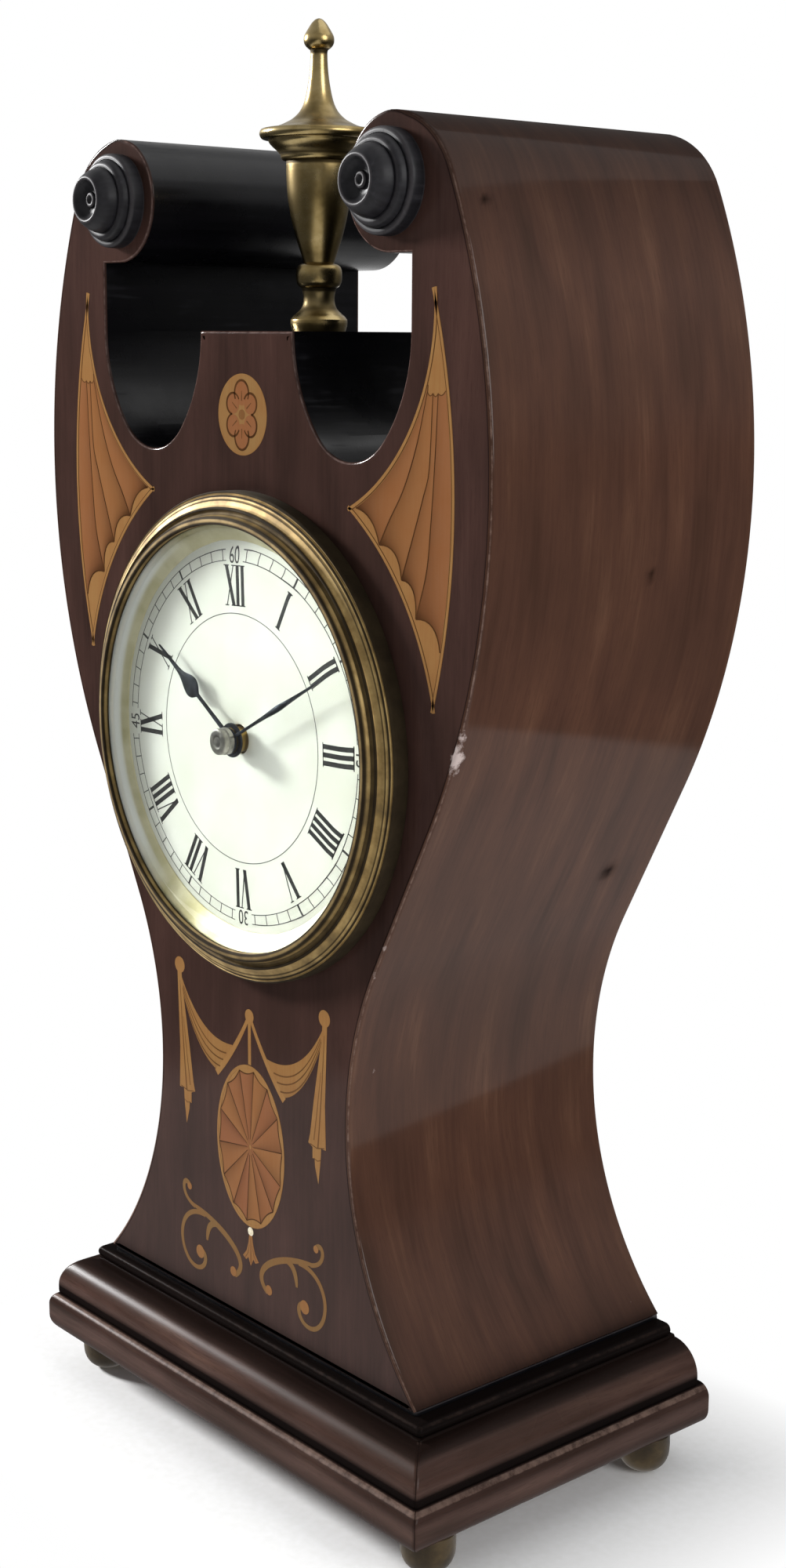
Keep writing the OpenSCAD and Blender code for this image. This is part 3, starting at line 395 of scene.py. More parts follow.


# Quarter-round moulding: run with a moulding plane, mitred at the front corners and glued on the slab.
# Dark bands along its foot and its top are painted shade and painted dark reflection, partly old polish.
OVOLO_X, OVOLO_Y, OVOLO_BACK, OVOLO_R, OVOLO_TOP = 64.04, 40.35, 40.05, 6.9, 27.8
ovolo_line = np.array([(0.25, SLAB_TOP), (0.05, 18.7), (0, 19.2), (0, 20.2)]
                      + quarter(OVOLO_R, 20.4, OVOLO_R, 180, 90, 12)
                      + [(OVOLO_R, 27.5), (7.15, OVOLO_TOP), (12, OVOLO_TOP)])
ovolo = course(OVOLO_X, -OVOLO_Y, OVOLO_BACK, ovolo_line)
# Painted shade along the foot and painted dark reflection near the top, with some old polish
SHADE_AND_POLISH_BANDS = [(SLAB_TOP, 0.97), (20.2, 0.95), (21.6, 0.05), (25.4, 0.0), (26.3, 0.75), (OVOLO_TOP, 0.9)]
for k, (x, y, z) in enumerate(ovolo[0]):
    ovolo[2]["darkening"][k] = max(ovolo[2]["darkening"][k], np.interp(z, *zip(*SHADE_AND_POLISH_BANDS)))
    ovolo[2]["wear_and_highlight"][k] *= 0.6
piece("plinth_ovolo", ovolo, [plinth_wood], "case", ["plinth_ovolo"], sharp=50, even=True)


# Bead moulding: a small half-round above the quarter round; its top ledge and its foot are painted dark as
# shade and dark reflection, with some old polish.
# Mitred and glued like the moulding under it.
bead_wood = mahogany("mahogany_bead_dark", ["#251b18", "#31251f", "#392b26", "#42332d"],
                     worn="#83695e", rough=0.2, gloss=0.3, streak=8)
BEAD_X, BEAD_Y, BEAD_BACK, BEAD_R = 57.24, 33.55, 38.55, 1.35
BEAD_TOP = OVOLO_TOP + 2 * BEAD_R
bead_line = np.array([(2.6, OVOLO_TOP), (BEAD_R, OVOLO_TOP)]
                     + quarter(BEAD_R, OVOLO_TOP + BEAD_R, BEAD_R, 270, 90, 11)[1:] + [(2.9, BEAD_TOP)])
bead = course(BEAD_X, -BEAD_Y, BEAD_BACK, bead_line)
for k, (x, y, z) in enumerate(bead[0]):
    # Painted shade: black on the top ledge, and a dark painted reflection fading up the foot of the bead
    dark = 0.9 if z > BEAD_TOP - 0.2 else np.interp(z, [OVOLO_TOP, 28.5], [0.9, 0])
    bead[2]["darkening"][k] = max(bead[2]["darkening"][k], dark)
    bead[2]["wear_and_highlight"][k] = 0.7 if BEAD_TOP - 0.8 < z < BEAD_TOP - 0.2 else 0.2
piece("plinth_bead", bead, [bead_wood], "case", ["plinth_bead"], sharp=50, even=True)


# Fillet: a thin ebonised board between the plinth and the case, set back a little.
# Dyed black and polished, with a lighter rubbed middle.
def ebonised(name, dark, light, scuff, rough, gloss):
    """Black-dyed wood under polish: near black, faint grain, grey scuffs and soft bright reflections."""
    material, tree = new_material(name)
    spot = add(tree, "TexCoord").outputs["Object"]
    # Grain runs from front to back, lines 1 mm wide and 40 mm long
    thin = add(tree, "Mapping", {"Vector": spot, "Scale": pitch(1, 40, 1)})
    lines = add(tree, "TexNoise", {"Vector": thin, "Scale": 1, "Detail": 3})
    cloud = add(tree, "TexNoise", {"Vector": spot, "Scale": 1 / (14 * MM), "Detail": 4, "Roughness": 0.6})
    # Scuffs: stretched scratches 0.5 mm wide and 12 mm long, only here and there
    scratch = add(tree, "Mapping", {"Vector": spot, "Rotation": (0.5, 0.3, 0.6),
                                    "Scale": pitch(0.5, 12.5, 1.4286)})
    scrape = add(tree, "TexNoise", {"Vector": scratch, "Scale": 1, "Detail": 1})
    mixed = add(tree, "Math", {0: cloud, 1: scrape}, operation="MULTIPLY")
    scuffed = add(tree, "MapRange", {"Value": mixed, "From Min": 0.34, "From Max": 0.5, "To Max": 0.6})
    base = add(tree, "ValToRGB", {"Fac": lines}, [(0.3, dark), (0.7, light)])
    tint = add(tree, "Mix", {"Factor": scuffed, "A": base, "B": colour(scuff)}, data_type="RGBA")
    dip = add(tree, "Attribute", attribute_name="recess").outputs["Fac"]
    # Paler on ridges: rubbed wear, on the roundels partly painted highlight
    worn = add(tree, "MapRange", {"Value": dip, "From Min": -0.35, "From Max": -1.0, "To Max": 0.75})
    broken = add(tree, "Math", {0: worn, 1: cloud}, operation="MULTIPLY")
    skin = add(tree, "Mix", {"Factor": broken, "A": tint, "B": colour("#6d6668")}, data_type="RGBA")
    dull = add(tree, "MapRange", {"Value": cloud, "From Min": 0.3, "From Max": 0.7,
                                  "To Min": rough, "To Max": rough + 0.16})
    coarse = add(tree, "Math", {0: scuffed, 1: 0.3, 2: dull}, operation="MULTIPLY_ADD")
    bump = add(tree, "Bump", {"Strength": 0.15, "Distance": 0.06 * MM, "Height": lines})
    shader = add(tree, "BsdfPrincipled", {"Base Color": skin, "Roughness": coarse, "Normal": bump,
                                          "IOR": 1.5, "Specular IOR Level": gloss})
    add(tree, "OutputMaterial", {"Surface": shader})
    return material


ebony = ebonised("ebonised_wood_polished", "#060608", "#0d0c10", scuff="#232328", rough=0.2, gloss=0.25)
FILLET_X, FILLET_Y, CASE_Z = 53.24, 31.05, 32.0
fillet_line = np.array([(0, BEAD_TOP), (0, 30.8), (0.12, 31.2), (0, 31.6), (0, CASE_Z), (3, CASE_Z)])
fillet = course(FILLET_X, -FILLET_Y, BEAD_BACK, fillet_line)
fillet[2]["recess"] = [-0.8 if 30.9 < z < 31.5 else 0 for _, _, z in fillet[0]]
piece("base_fillet", fillet, [ebony], "case", ["base_fillet"], sharp=50)


# Front board: the balloon-shaped front of the case, mahogany veneer on a softwood board.
# The veneer is dark and purple-brown; its edges at the throats and the block are rubbed pale.
FRONT_Y, CASE_D, DIAL_H = -31.45, 70.0, 126.9
BELLY_W, WAIST_W, BELLY_H, WAIST_H = 71.5, 32.5, 180.2, 52.3
SIDE_T, BOARD_T, BACK_T, LIP = 6.0, 8.0, 6.0, 0.7
ROLL_R, BLOCK_W = 12.4, 15.1
DRUM_HOLE, HOLE_STEPS = 42.1, 120
FRONT_CHIP = (62.4, 130.2)


def elevation(x, h, p=0.0):
    """World place of a point of the front elevation: across, up from the fillet, out of the front face."""
    return (x, FRONT_Y - p, CASE_Z + h)


def on_dial(x, z, p):
    """World place of a point given from the middle of the dial."""
    return elevation(x, DIAL_H + z, p)


def arc(centre, r, start, end, gap=1.4):
    """Points round part of a circle, about a gap apart."""
    count = max(3, int(abs(end - start) * r / gap))
    return [np.array([centre[0] + r * math.cos(a), centre[1] + r * math.sin(a)])
            for a in np.linspace(start, end, count)]


# Shares and rises that shape the outline between the driving widths and heights
WAIST_SHARE, BELLY_SHARE = 0.3272, 0.6095
HORN_SHARE, HORN_RISE, BLOCK_RISE = 0.61, 66.4, 27.7
THROAT_SHARE, BOWL_SHARE, BOWL_DROP = 0.692, 0.756, 6.8
swell = BELLY_W - WAIST_W
bend = (swell ** 2 + (BELLY_H - WAIST_H) ** 2) / (2 * swell)
waist_r, belly_r = WAIST_SHARE * bend, BELLY_SHARE * bend
horn_x, horn_top = HORN_SHARE * BELLY_W, BELLY_H + HORN_RISE
block_top = BELLY_H + BLOCK_RISE
throat_r = (THROAT_SHARE * BELLY_W - BLOCK_W) / 2
throat_x, throat_h = BLOCK_W + throat_r, block_top
bowl_r = BOWL_SHARE * throat_r
bowl_h = throat_h - throat_r - BOWL_DROP + bowl_r
flank_r = (throat_r ** 2 + (throat_h - bowl_h) ** 2 - bowl_r ** 2) / (2 * (throat_r - bowl_r))
flank = math.asin((throat_h - bowl_h) / (flank_r - bowl_r))
roll_h = horn_top - ROLL_R
waist_at, belly_at = np.array([WAIST_W + waist_r, WAIST_H]), np.array([BELLY_W - belly_r, BELLY_H])
between = belly_at - waist_at
lean = math.atan2(between[1], between[0]) + math.acos((waist_r + belly_r) / np.linalg.norm(between))
top_r = ((horn_x - belly_at[0]) ** 2 + (horn_top - BELLY_H) ** 2 - belly_r ** 2) / (
    2 * (horn_top - BELLY_H) - 2 * belly_r)
top_at = np.array([horn_x, horn_top - top_r])
shoulder = math.atan2(top_at[1] - belly_at[1], top_at[0] - belly_at[0])
foot_turn = 2 * math.pi + math.atan2(-WAIST_H, -math.sqrt(waist_r ** 2 - WAIST_H ** 2))
waist_end = waist_at + waist_r * np.array([math.cos(lean), math.sin(lean)])
belly_start = belly_at - belly_r * np.array([math.cos(lean), math.sin(lean)])
# Outer line of the right half, from the foot of the case up to the crown of the horn
outside = np.array(arc(waist_at, waist_r, foot_turn, lean)
                   + [waist_end + (belly_start - waist_end) * t for t in np.linspace(0, 1, 24)[1:-1]]
                   + arc(belly_at, belly_r, lean - math.pi, shoulder)
                   + arc(top_at, top_r, shoulder, math.pi / 2)[1:])
# Inner line of the right half, from the crown round the scroll and the throat to the middle of the block
inside = np.array(arc((horn_x, roll_h), ROLL_R, math.pi / 2, 1.5 * math.pi, 0.9)[1:]
                  + [(x, roll_h - ROLL_R) for x in np.linspace(horn_x, throat_x + throat_r, 6)[1:]]
                  + [(throat_x + throat_r, h) for h in np.linspace(roll_h - ROLL_R, throat_h, 10)[1:-1]]
                  + arc((throat_x + throat_r - flank_r, throat_h), flank_r, 0, -flank, 0.9)
                  + arc((throat_x, bowl_h), bowl_r, -flank, flank - math.pi, 0.9)[1:-1]
                  + arc((throat_x - throat_r + flank_r, throat_h), flank_r, flank - math.pi, -math.pi, 0.9)
                  + [(x, block_top) for x in np.linspace(BLOCK_W, 0, 12)[1:]])


def inward(path, closed):
    """Unit normals to the left of a line, stretched at corners so that insets keep their width."""
    before = path - np.roll(path, 1, axis=0)
    after = np.roll(path, -1, axis=0) - path
    if not closed:
        before[0], after[-1] = after[0], before[-1]
    before = before / np.linalg.norm(before, axis=1)[:, None]
    after = after / np.linalg.norm(after, axis=1)[:, None]
    mean = before + after
    mean = mean / np.linalg.norm(mean, axis=1)[:, None]
    square = np.stack([-mean[:, 1], mean[:, 0]], 1)
    return square / np.maximum((square * np.stack([-after[:, 1], after[:, 0]], 1)).sum(1), 0.5)[:, None]


climb = lengths(outside)
# The side veneer laps the boards' edges by its own thickness and dies away at the crown
lap = LIP * np.clip((climb[-1] - climb) / 5, 0.04, 1)
outside_n = inward(outside, False)
outside_n[-1] = (0, -1)
lapped = outside + outside_n * lap[:, None]


def board(face_p, back_p, hole_r, wear_scale):
    """A balloon-shaped board: rings round its edge, rounded over at the throats, and two flat faces."""
    right = np.concatenate([lapped, inside])
    left = right[:-1][::-1] * [-1, 1]
    line = np.concatenate([right, left])
    inner = np.concatenate([np.zeros(len(lapped)), np.ones(len(inside))])
    inner = np.convolve(np.pad(inner, 2, mode="edge"), np.ones(5) / 5, "valid")
    inner = np.concatenate([inner, inner[:-1][::-1]])
    # Edges are rounded by 0.5 mm at the throats and left sharp under the side veneer
    normal, radius = inward(line, True), 0.03 + 0.5 * inner
    out = 1 if face_p > back_p else -1
    verts, grain, wear_and_highlight, darkening = [], [], [], []
    # The first loop lies on the hidden face; the others go round the edge and on to the face that is seen
    rings = [(turn, 0) for turn in (0, 0, 22.5, 45, 67.5, 90)] + [(90, 0.35), (90, 1.2)]
    throat_rub, side_rub = (0, 0, 0, 0.8, 0.8, 0.3, 0, 0), (0, 0, 0, 0, 0, 0, 0.45, 0)
    for ring, (turn, extra) in enumerate(rings):
        a = math.radians(turn)
        inset = radius * (1 - math.cos(a)) + extra
        p = face_p - out * radius * (1 - math.sin(a)) if ring else np.full(len(line), back_p)
        for (x, h), depth, share in zip(line + normal * inset[:, None], p, inner):
            verts.append(elevation(x, h, depth))
            grain.append(((h + 300 * (out < 0)) * MM, x * MM, 0.3 * depth * MM))
            wear_and_highlight.append(wear_scale * (share * throat_rub[ring] + (1 - share) * side_rub[ring]))
            foot = 0.7 * math.exp(-max(h, 0) / 1.6) if ring > 5 else 0
            darkening.append(max(0.9 * (1 - share) if 0 < ring < 6 else 0, foot))
    count, hole = len(line), len(verts)
    faces = loops(len(rings), count)
    stuff = [int(inner[k] > 0.5) for k in range(count)] + [0] * (len(faces) - count)
    for depth in (back_p, face_p):
        for turn in np.arange(HOLE_STEPS) * 2 * math.pi / HOLE_STEPS:
            x, h = hole_r * math.cos(turn), DIAL_H + hole_r * math.sin(turn)
            verts.append(elevation(x, h, depth))
            grain.append((h * MM, x * MM, 0.3 * depth * MM))
    wear_and_highlight += [0] * 2 * HOLE_STEPS
    darkening += [0] * 2 * HOLE_STEPS
    faces += [[hole + k for k in face] for face in loops(2, HOLE_STEPS)]
    for start, bore in ((0, hole), (hole - count, hole + HOLE_STEPS)):
        index = list(range(start, start + count)) + list(range(bore, bore + HOLE_STEPS))
        flat = [Vector((verts[k][0], verts[k][2], 0)) for k in index]
        caps = tessellate_polygon([flat[:count], flat[count:]])
        faces += [[index[k] for k in cap] for cap in caps]
    stuff += [0] * (len(faces) - len(stuff))
    chip_x, chip_z = FRONT_CHIP[0], CASE_Z + FRONT_CHIP[1]
    chip = [math.exp(-((x - chip_x) / 1.6) ** 2 - ((z - chip_z) / 4) ** 2) * (out > 0) for x, _, z in verts]
    return (verts, faces, {"grain": grain, "wear_and_highlight": wear_and_highlight, "darkening": darkening, "chip": chip}), stuff


front_wood = mahogany("mahogany_veneer_front", ["#2d1f1b", "#382722", "#3e2b26", "#47322c"],
                      worn="#75605a", rough=0.1, gloss=0.25, streak=12)
front_shape, front_stuff = board(0.0, -BOARD_T, DRUM_HOLE, wear_scale=1.0)
piece("front_board", front_shape, [front_wood, ebony], "case", ["front_board"], sharp=40,
      stuff=front_stuff, even=True)


# Back board: the same outline at the back, plainer mahogany with a round hole for the movement.
# Stained and waxed, not polished.
DOOR_HOLE = 37.0
back_wood = mahogany("mahogany_waxed_back", ["#2b1a13", "#412a1f", "#4b3226", "#5a3d2e"],
                     worn="#75594a", rough=0.4, gloss=0.25, streak=18)
back_shape, back_stuff = board(-CASE_D, -CASE_D + BACK_T, DOOR_HOLE, wear_scale=0.5)
piece("back_board", back_shape, [back_wood, ebony], "case", ["back_board"], sharp=40,
      stuff=back_stuff, even=True)


# Side panels: thin boards bent round the sides and veneered with long straight-grained mahogany.
# The veneer laps the front and back boards; its front edge is rubbed and has a crack and a chip.
side_wood = mahogany("mahogany_veneer_side", ["#3b281f", "#493127", "#50362a", "#5e4233"],
                     worn="#947a6d", rough=0.05, gloss=0.37, streak=8)
# Places across, up and out of the front face, with a radius, and for dents how white the filler is
DENTS = [(62.8, 131.5, 0.0, 3.2, 1.0), (64.2, 136.0, -0.6, 1.8, 0.8), (43.3, 91.5, 0.0, 1.3, 0.8),
         (40.5, 85.9, 0.0, 1.3, 0.8), (33.3, 63.5, -6.2, 0.8, 0.8), (50.8, 3.2, -64.6, 0.8, 0.9)]
HOLES = [(47.2, 99.2, -57.0, 1.7), (70.5, 163.2, -42.2, 1.0), (62.1, 230.5, -6.3, 1.2)]


def side_panel(side):
    """One bent panel: full thickness between the boards and a veneer over their edges, drawn up the side."""
    verts, grain, wear_and_highlight, darkening, chip = [], [], [], [], []
    crown = climb[-1]
    for spot, normal, far, lip in zip(outside, outside_n, climb, lap):
        edge = [(lip * (1 - math.sin(a)), -lip * (1 - math.cos(a)), 0.9 * math.sin(2 * a) ** 2)
                for a in np.linspace(0, math.pi / 2, 7)]
        edge += [(0, -lip - 0.4, 0.3), (0, -lip - 1.3, 0.0)]
        middle = [(0, p, 0) for p in np.linspace(-3.2, -CASE_D + 3.2, 48)]
        rear = [(n, -CASE_D - p, 0.6 * worn) for n, p, worn in edge[::-1]]
        ring = [(lip, -BOARD_T, 0)] + edge + middle + rear
        ring += [(lip, BACK_T - CASE_D, 0), (SIDE_T, BACK_T - CASE_D, 0), (SIDE_T, -BOARD_T, 0)]
        black = np.interp(far, [crown - 40, crown - 6], [0, 0.7])
        for n, p, worn in ring:
            x, h = spot + normal * n
            verts.append(elevation(side * x, h, p))
            grain.append(((far + 400) * MM, (p + 200 * (side < 0)) * MM, n * MM))
            wear_and_highlight.append(worn * (0.8 if far < crown - 6 else 0.3))
            bored = max(math.exp(-((x - a) ** 2 + (h - b) ** 2 + (p - c) ** 2) / r ** 2)
                        for a, b, c, r in HOLES)
            foot = 0.75 * math.exp(-max(h, 0) / 2.2) if n < 0.1 else 0
            darkening.append(max(bored * (side > 0), foot, black))
            filled = max(white * math.exp(-((x - a) ** 2 + ((h - b) / 1.6) ** 2 + (p - c) ** 2) / r ** 2)
                         for a, b, c, r, white in DENTS)
            chip.append(filled * (side > 0))
    faces = loops(len(outside), len(ring)) + ends(len(outside), len(ring))
    return verts, faces, {"grain": grain, "wear_and_highlight": wear_and_highlight, "darkening": darkening, "chip": chip}


for side, name in ((1, "right_side"), (-1, "left_side")):
    piece(name, side_panel(side), [side_wood], "case", [name], sharp=50, even=True)


# Horns, throat linings and pediment block: bent and sawn softwood between the boards, dyed black.
# They carry a high polish that has dulled and been scuffed by dusting.
dress(ebony, "left_horn", "right_horn", "left_throat", "right_throat", "pediment_block")


# Roundels: two turned bosses, dyed black, pegged into the scroll ends.
# A deep rim, two rings, a dome and a wide dish with a small button in it; the ridges are rubbed grey, and the
# grey ridges and lighter tint are partly painted highlight.
roundel_wood = ebonised("ebonised_wood_turned", "#141316", "#201f23",
                        scuff="#3b393d", rough=0.4, gloss=0.25)
roundel_line = rounded([(9.5, 0, 1), (9.5, 1.9), (9.35, 2.6), (8.95, 2.95), (8.4, 3.0, 1), (8.2, 2.85, 1),
                        (8.15, 3.3), (7.85, 4.1), (7.3, 4.55), (6.75, 4.6, 1), (6.55, 4.5, 1), (6.45, 5.2),
                        (6.05, 6.4), (5.4, 7.45), (4.85, 8.1), (4.5, 8.35), (4.15, 8.3), (3.85, 7.95),
                        (3.4, 7.3), (2.7, 6.75), (2.0, 6.55), (1.65, 6.55, 1), (1.5, 6.95), (1.2, 7.15),
                        (0.85, 7.1), (0.55, 6.75), (0, 6.65)])
roundel_line = np.concatenate([[(0, 0)], roundel_line])
for side, name in ((-1, "left_roundel"), (1, "right_roundel")):
    shape = turned(roundel_line, lambda x, y, z, s=side: elevation(s * horn_x + x, roll_h + y, z), seat=0.5)
    # Grey ridges: wear, and partly painted highlight
    shape[2]["recess"] = [0.65 * dip for dip in shape[2]["recess"]]
    piece(name, shape, [roundel_wood], "case", [name])


# Finial: a turned brass urn in three parts, foot, urn and cover with its spire, on a threaded steel rod.
# Lacquer gone, toned brown with bright rubbed bands.
finial_brass = brass("brass_turned_finial", "#6f5e39", "#968256", "#b19e72",
                     rough=0.22, blotch=9, darkening=0.85)
FINIAL_Y = FRONT_Y + 18.6
foot_part = [(5.3, 0, 1), (5.5, 0.6), (5.7, 1.5), (5.68, 2.3, 1), (5.2, 2.95), (4.4, 3.65), (3.6, 4.5),
             (3.2, 5.5), (3.1, 6.5), (3.25, 7.7), (3.5, 8.5, 1), (4.1, 8.95), (4.5, 9.7), (4.62, 10.9),
             (4.52, 12.1), (4.2, 12.8), (3.6, 13.2), (3.05, 13.3, 1), (0, 13.3, 1)]
urn_part = [(3.0, 13.3, 1), (3.25, 14.1), (3.6, 15.2), (4.1, 16.7), (4.65, 18.4), (5.3, 20.9), (5.8, 23.4),
            (6.2, 26), (6.4, 28.5), (6.5, 31), (6.5, 33.1, 1), (7.2, 33.2), (7.5, 33.55), (7.6, 34, 1),
            (7.85, 34.45), (8.5, 35.1), (9.3, 35.8), (9.9, 36.5), (10.1, 37.1, 1), (0, 37.1, 1)]
cover_part = [(10.6, 37.1, 1), (11.3, 37.2), (11.7, 37.7), (11.8, 38.3), (11.55, 38.9), (11.2, 39.1, 1),
              (9.4, 39.35), (7.8, 39.8), (6.5, 40.4), (5.4, 41), (4.5, 41.75), (3.8, 42.55), (3.2, 43.6),
              (2.8, 44.7), (2.45, 46.1), (2.1, 48), (1.85, 49.9), (1.7, 51.9), (1.65, 53.6, 1),
              (1.75, 54.1, 1), (2.4, 54.6), (2.85, 55.2), (3, 55.9), (2.9, 56.7), (2.5, 57.5), (1.95, 58.4),
              (1.4, 59.2), (0.7, 59.85), (0, 60.1, 1)]
for name, points in (("finial_foot", foot_part), ("finial_urn", urn_part), ("finial_cover", cover_part)):
    line = np.concatenate([[(0, points[0][1])], rounded(points)])
    shape = turned(line, lambda x, y, z: (x, FINIAL_Y + y, CASE_Z + block_top + z), seat=0.9)
    piece(name, shape, [finial_brass], "case", [name])
dress(bright_steel, "finial_rod")


# Marquetry: satinwood and boxwood cut in thin veneer, let into the front board and polished level with it.
# Fans, sunburst and drapery are shaded by dipping each slip in hot sand, so one side is scorched brown.
def satinwood(name):
    """Satinwood veneer: golden tan with a fine straight figure, scorched brown toward one edge of a slip."""
    material, tree = new_material(name)
    spot = add(tree, "TexCoord").outputs["Object"]
    # Figure in lines 0.5 mm wide and 9 mm long
    thin = add(tree, "Mapping", {"Vector": spot, "Rotation": (0, 0.3, 0), "Scale": pitch(0.5, 0.5, 9.09)})
    lines = add(tree, "TexNoise", {"Vector": thin, "Scale": 1, "Detail": 3})
    cloud = add(tree, "TexNoise", {"Vector": spot, "Scale": 1 / (5 * MM), "Detail": 3})
    tone = add(tree, "Attribute", attribute_name="tone").outputs["Fac"]
    base = add(tree, "ValToRGB", {"Fac": tone}, [(0.0, "#765d3b"), (1.0, "#7c5037"), (0.3, "#8b683f"),
                                                (0.6, "#835a38")])
    both = add(tree, "Math", {0: lines, 1: cloud}, operation="ADD")
    shaded = add(tree, "MapRange", {"Value": both, "From Min": 0.7, "From Max": 1.3,
                                    "To Min": 0.35, "To Max": 0.0})
    figured = add(tree, "Mix", {"Factor": shaded, "A": base, "B": colour("#7a4a26")}, data_type="RGBA")
    burnt = add(tree, "Attribute", attribute_name="scorch").outputs["Fac"]
    uneven = add(tree, "Math", {0: cloud, 1: 0.5, 2: 0.75}, operation="MULTIPLY_ADD")
    heat = add(tree, "Math", {0: burnt, 1: uneven}, operation="MULTIPLY", use_clamp=True)
    skin_tint = add(tree, "Mix", {"Factor": heat, "A": figured, "B": colour("#2c170c")}, data_type="RGBA")
    dull = add(tree, "MapRange", {"Value": cloud, "To Min": 0.34, "To Max": 0.5})
    bump = add(tree, "Bump", {"Strength": 0.12, "Distance": 0.03 * MM, "Height": lines})
    shader = add(tree, "BsdfPrincipled", {"Base Color": skin_tint, "Roughness": dull, "Normal": bump,
                                          "IOR": 1.5, "Specular IOR Level": 0.0, "Coat Weight": 0.16,
                                          "Coat Roughness": 0.1})
    add(tree, "OutputMaterial", {"Surface": shader})
    return material


satin = satinwood("satinwood_veneer_scorched")


INLAY_P = -0.25


def slip(grid, high, tone, scorch):
    """One cut slip of veneer from rows of points across it; scorch is one value, or rows like the points."""
    rows, cols = len(grid), len(grid[0])
    low = rows * cols
    verts = [elevation(x, h, p) for p in (high, INLAY_P) for row in grid for x, h in row]
    burn = [heat for row in scorch for heat in row] if isinstance(scorch, list) else [scorch] * low
    faces = []
    for r in range(rows - 1):
        for c in range(cols - 1):
            face = [r * cols + c, r * cols + c + 1, (r + 1) * cols + c + 1, (r + 1) * cols + c]
            faces += [face, [k + low for k in face[::-1]]]
    rim = list(range(cols)) + list(range(2 * cols - 1, low, cols))
    rim += list(range(low - 2, low - cols - 1, -1)) + list(range(low - 2 * cols, 0, -cols))
    faces += [[a, b, b + low, a + low] for a, b in zip(rim, rim[1:] + rim[:1])]
    return verts, faces, {"tone": [tone] * len(verts), "scorch": burn + burn}


def sheet(outline, place, high, low):
    """Points and faces of a flat shape with a closed outline: its top, its underside and its edge."""
    count = len(outline)
    verts = [place(x, h, p) for p in (high, low) for x, h in outline]
    caps = tessellate_polygon([[Vector((x, h, 0)) for x, h in outline]])
    faces = [list(cap) for cap in caps] + [[k + count for k in cap[::-1]] for cap in caps]
    return verts, faces + loops(2, count)


def cut(outline, high, tone, scorch):
    """One slip of veneer cut to a closed outline."""
    verts, faces = sheet(outline, elevation, high, INLAY_P)
    return verts, faces, {"tone": [tone] * len(verts), "scorch": [scorch] * len(verts)}


def ribbon(line, start_w, end_w, swell_w=0.0):
    """Rows across a strip along a line, from one width to another with a swell between."""
    line = np.array(line, float)
    gone = lengths(line)
    t = gone / gone[-1]
    width = start_w + (end_w - start_w) * t + 4 * swell_w * t * (1 - t)
    normal = inward(line, False)
    return [[a - n * w / 2, a + n * w / 2] for a, n, w in zip(line, normal, width)]


def cubic(p, count=24):
    """Points of a curve drawn by its two ends and two handles."""
    p = np.array(p, float)
    return [(1 - t) ** 3 * p[0] + 3 * t * (1 - t) ** 2 * p[1] + 3 * t * t * (1 - t) * p[2] + t ** 3 * p[3]
            for t in np.linspace(0, 1, count)]


def even_line(points, count):
    """Smooth line through points, cut into equal steps."""
    path = rounded(points, 8)
    return points_at(path, np.linspace(0, lengths(path)[-1], count))


def flipped(shape):
    """The same shape on the other side of the front."""
    verts, faces, marks = shape
    return [(-x, y, z) for x, y, z in verts], faces, marks


# Fan shells: a pair of pictures of veneer in the upper corners, bounded by three arcs.
# Each has a pale string border, four shaded ribs and lens-shaped slips along its lower edge.
SHELL_OUT = ((BELLY_W - 141.1, BELLY_H - 3.8), 131.5)
SHELL_LOW = ((0.0, DIAL_H), BELLY_W - 13.5)
SHELL_TOP = ((throat_x - 17.5, throat_h + 5.0), throat_r + 24)


def right_crossing(first, second):
    """The crossing of two circles that lies further right."""
    (ax, ay), ra = first
    (bx, by), rb = second
    d = math.hypot(bx - ax, by - ay)
    along = (ra * ra - rb * rb + d * d) / (2 * d)
    off = math.sqrt(max(0, ra * ra - along * along))
    ux, uy = (bx - ax) / d, (by - ay) / d
    found = [(ax + ux * along - uy * off * s, ay + uy * along + ux * off * s) for s in (1, -1)]
    return max(found, key=lambda q: q[0])


def on_circle(ring, a, b, inset, count):
    """Line along a circle from one point to another, drawn in or out."""
    (cx, cy), r = ring
    start, end = (math.atan2(q[1] - cy, q[0] - cx) for q in (a, b))
    return [(cx + (r + inset) * math.cos(t), cy + (r + inset) * math.sin(t))
            for t in np.linspace(start, end, count)]


tip_top = right_crossing(SHELL_OUT, SHELL_TOP)
tip_low = right_crossing(SHELL_OUT, SHELL_LOW)
tip_left = right_crossing(SHELL_TOP, SHELL_LOW)
shell_edges = [on_circle(SHELL_TOP, tip_left, tip_top, 0.0, 40),
               on_circle(SHELL_OUT, tip_top, tip_low, 0.0, 60),
               on_circle(SHELL_LOW, tip_low, tip_left, 0.0, 40)]
shell = [cut([point for edge in shell_edges for point in edge[:-1]], 0.02, 0.35, 0.0)]
RIB_ROWS = 22
RIB_TONES = (0.72, 0.6, 0.68, 0.78)
rib_lines = [on_circle(SHELL_TOP, (53.3, 199.1), (34.5, 175.4), 0.95, RIB_ROWS),
             even_line([(54.3, 197.4), (51.5, 187.8), (48, 179.8), (44, 173.8), (41.2, 169.2)], RIB_ROWS),
             even_line([(55.8, 197.2), (55, 183.8), (53.5, 178.8), (51, 172), (47.6, 163.2)], RIB_ROWS),
             even_line([(57.2, 197.2), (56.5, 185), (55.5, 173), (54.5, 165), (51.7, 156.4)], RIB_ROWS),
             on_circle(SHELL_OUT, (58.6, 197.6), (57.9, 151), -0.95, RIB_ROWS)]
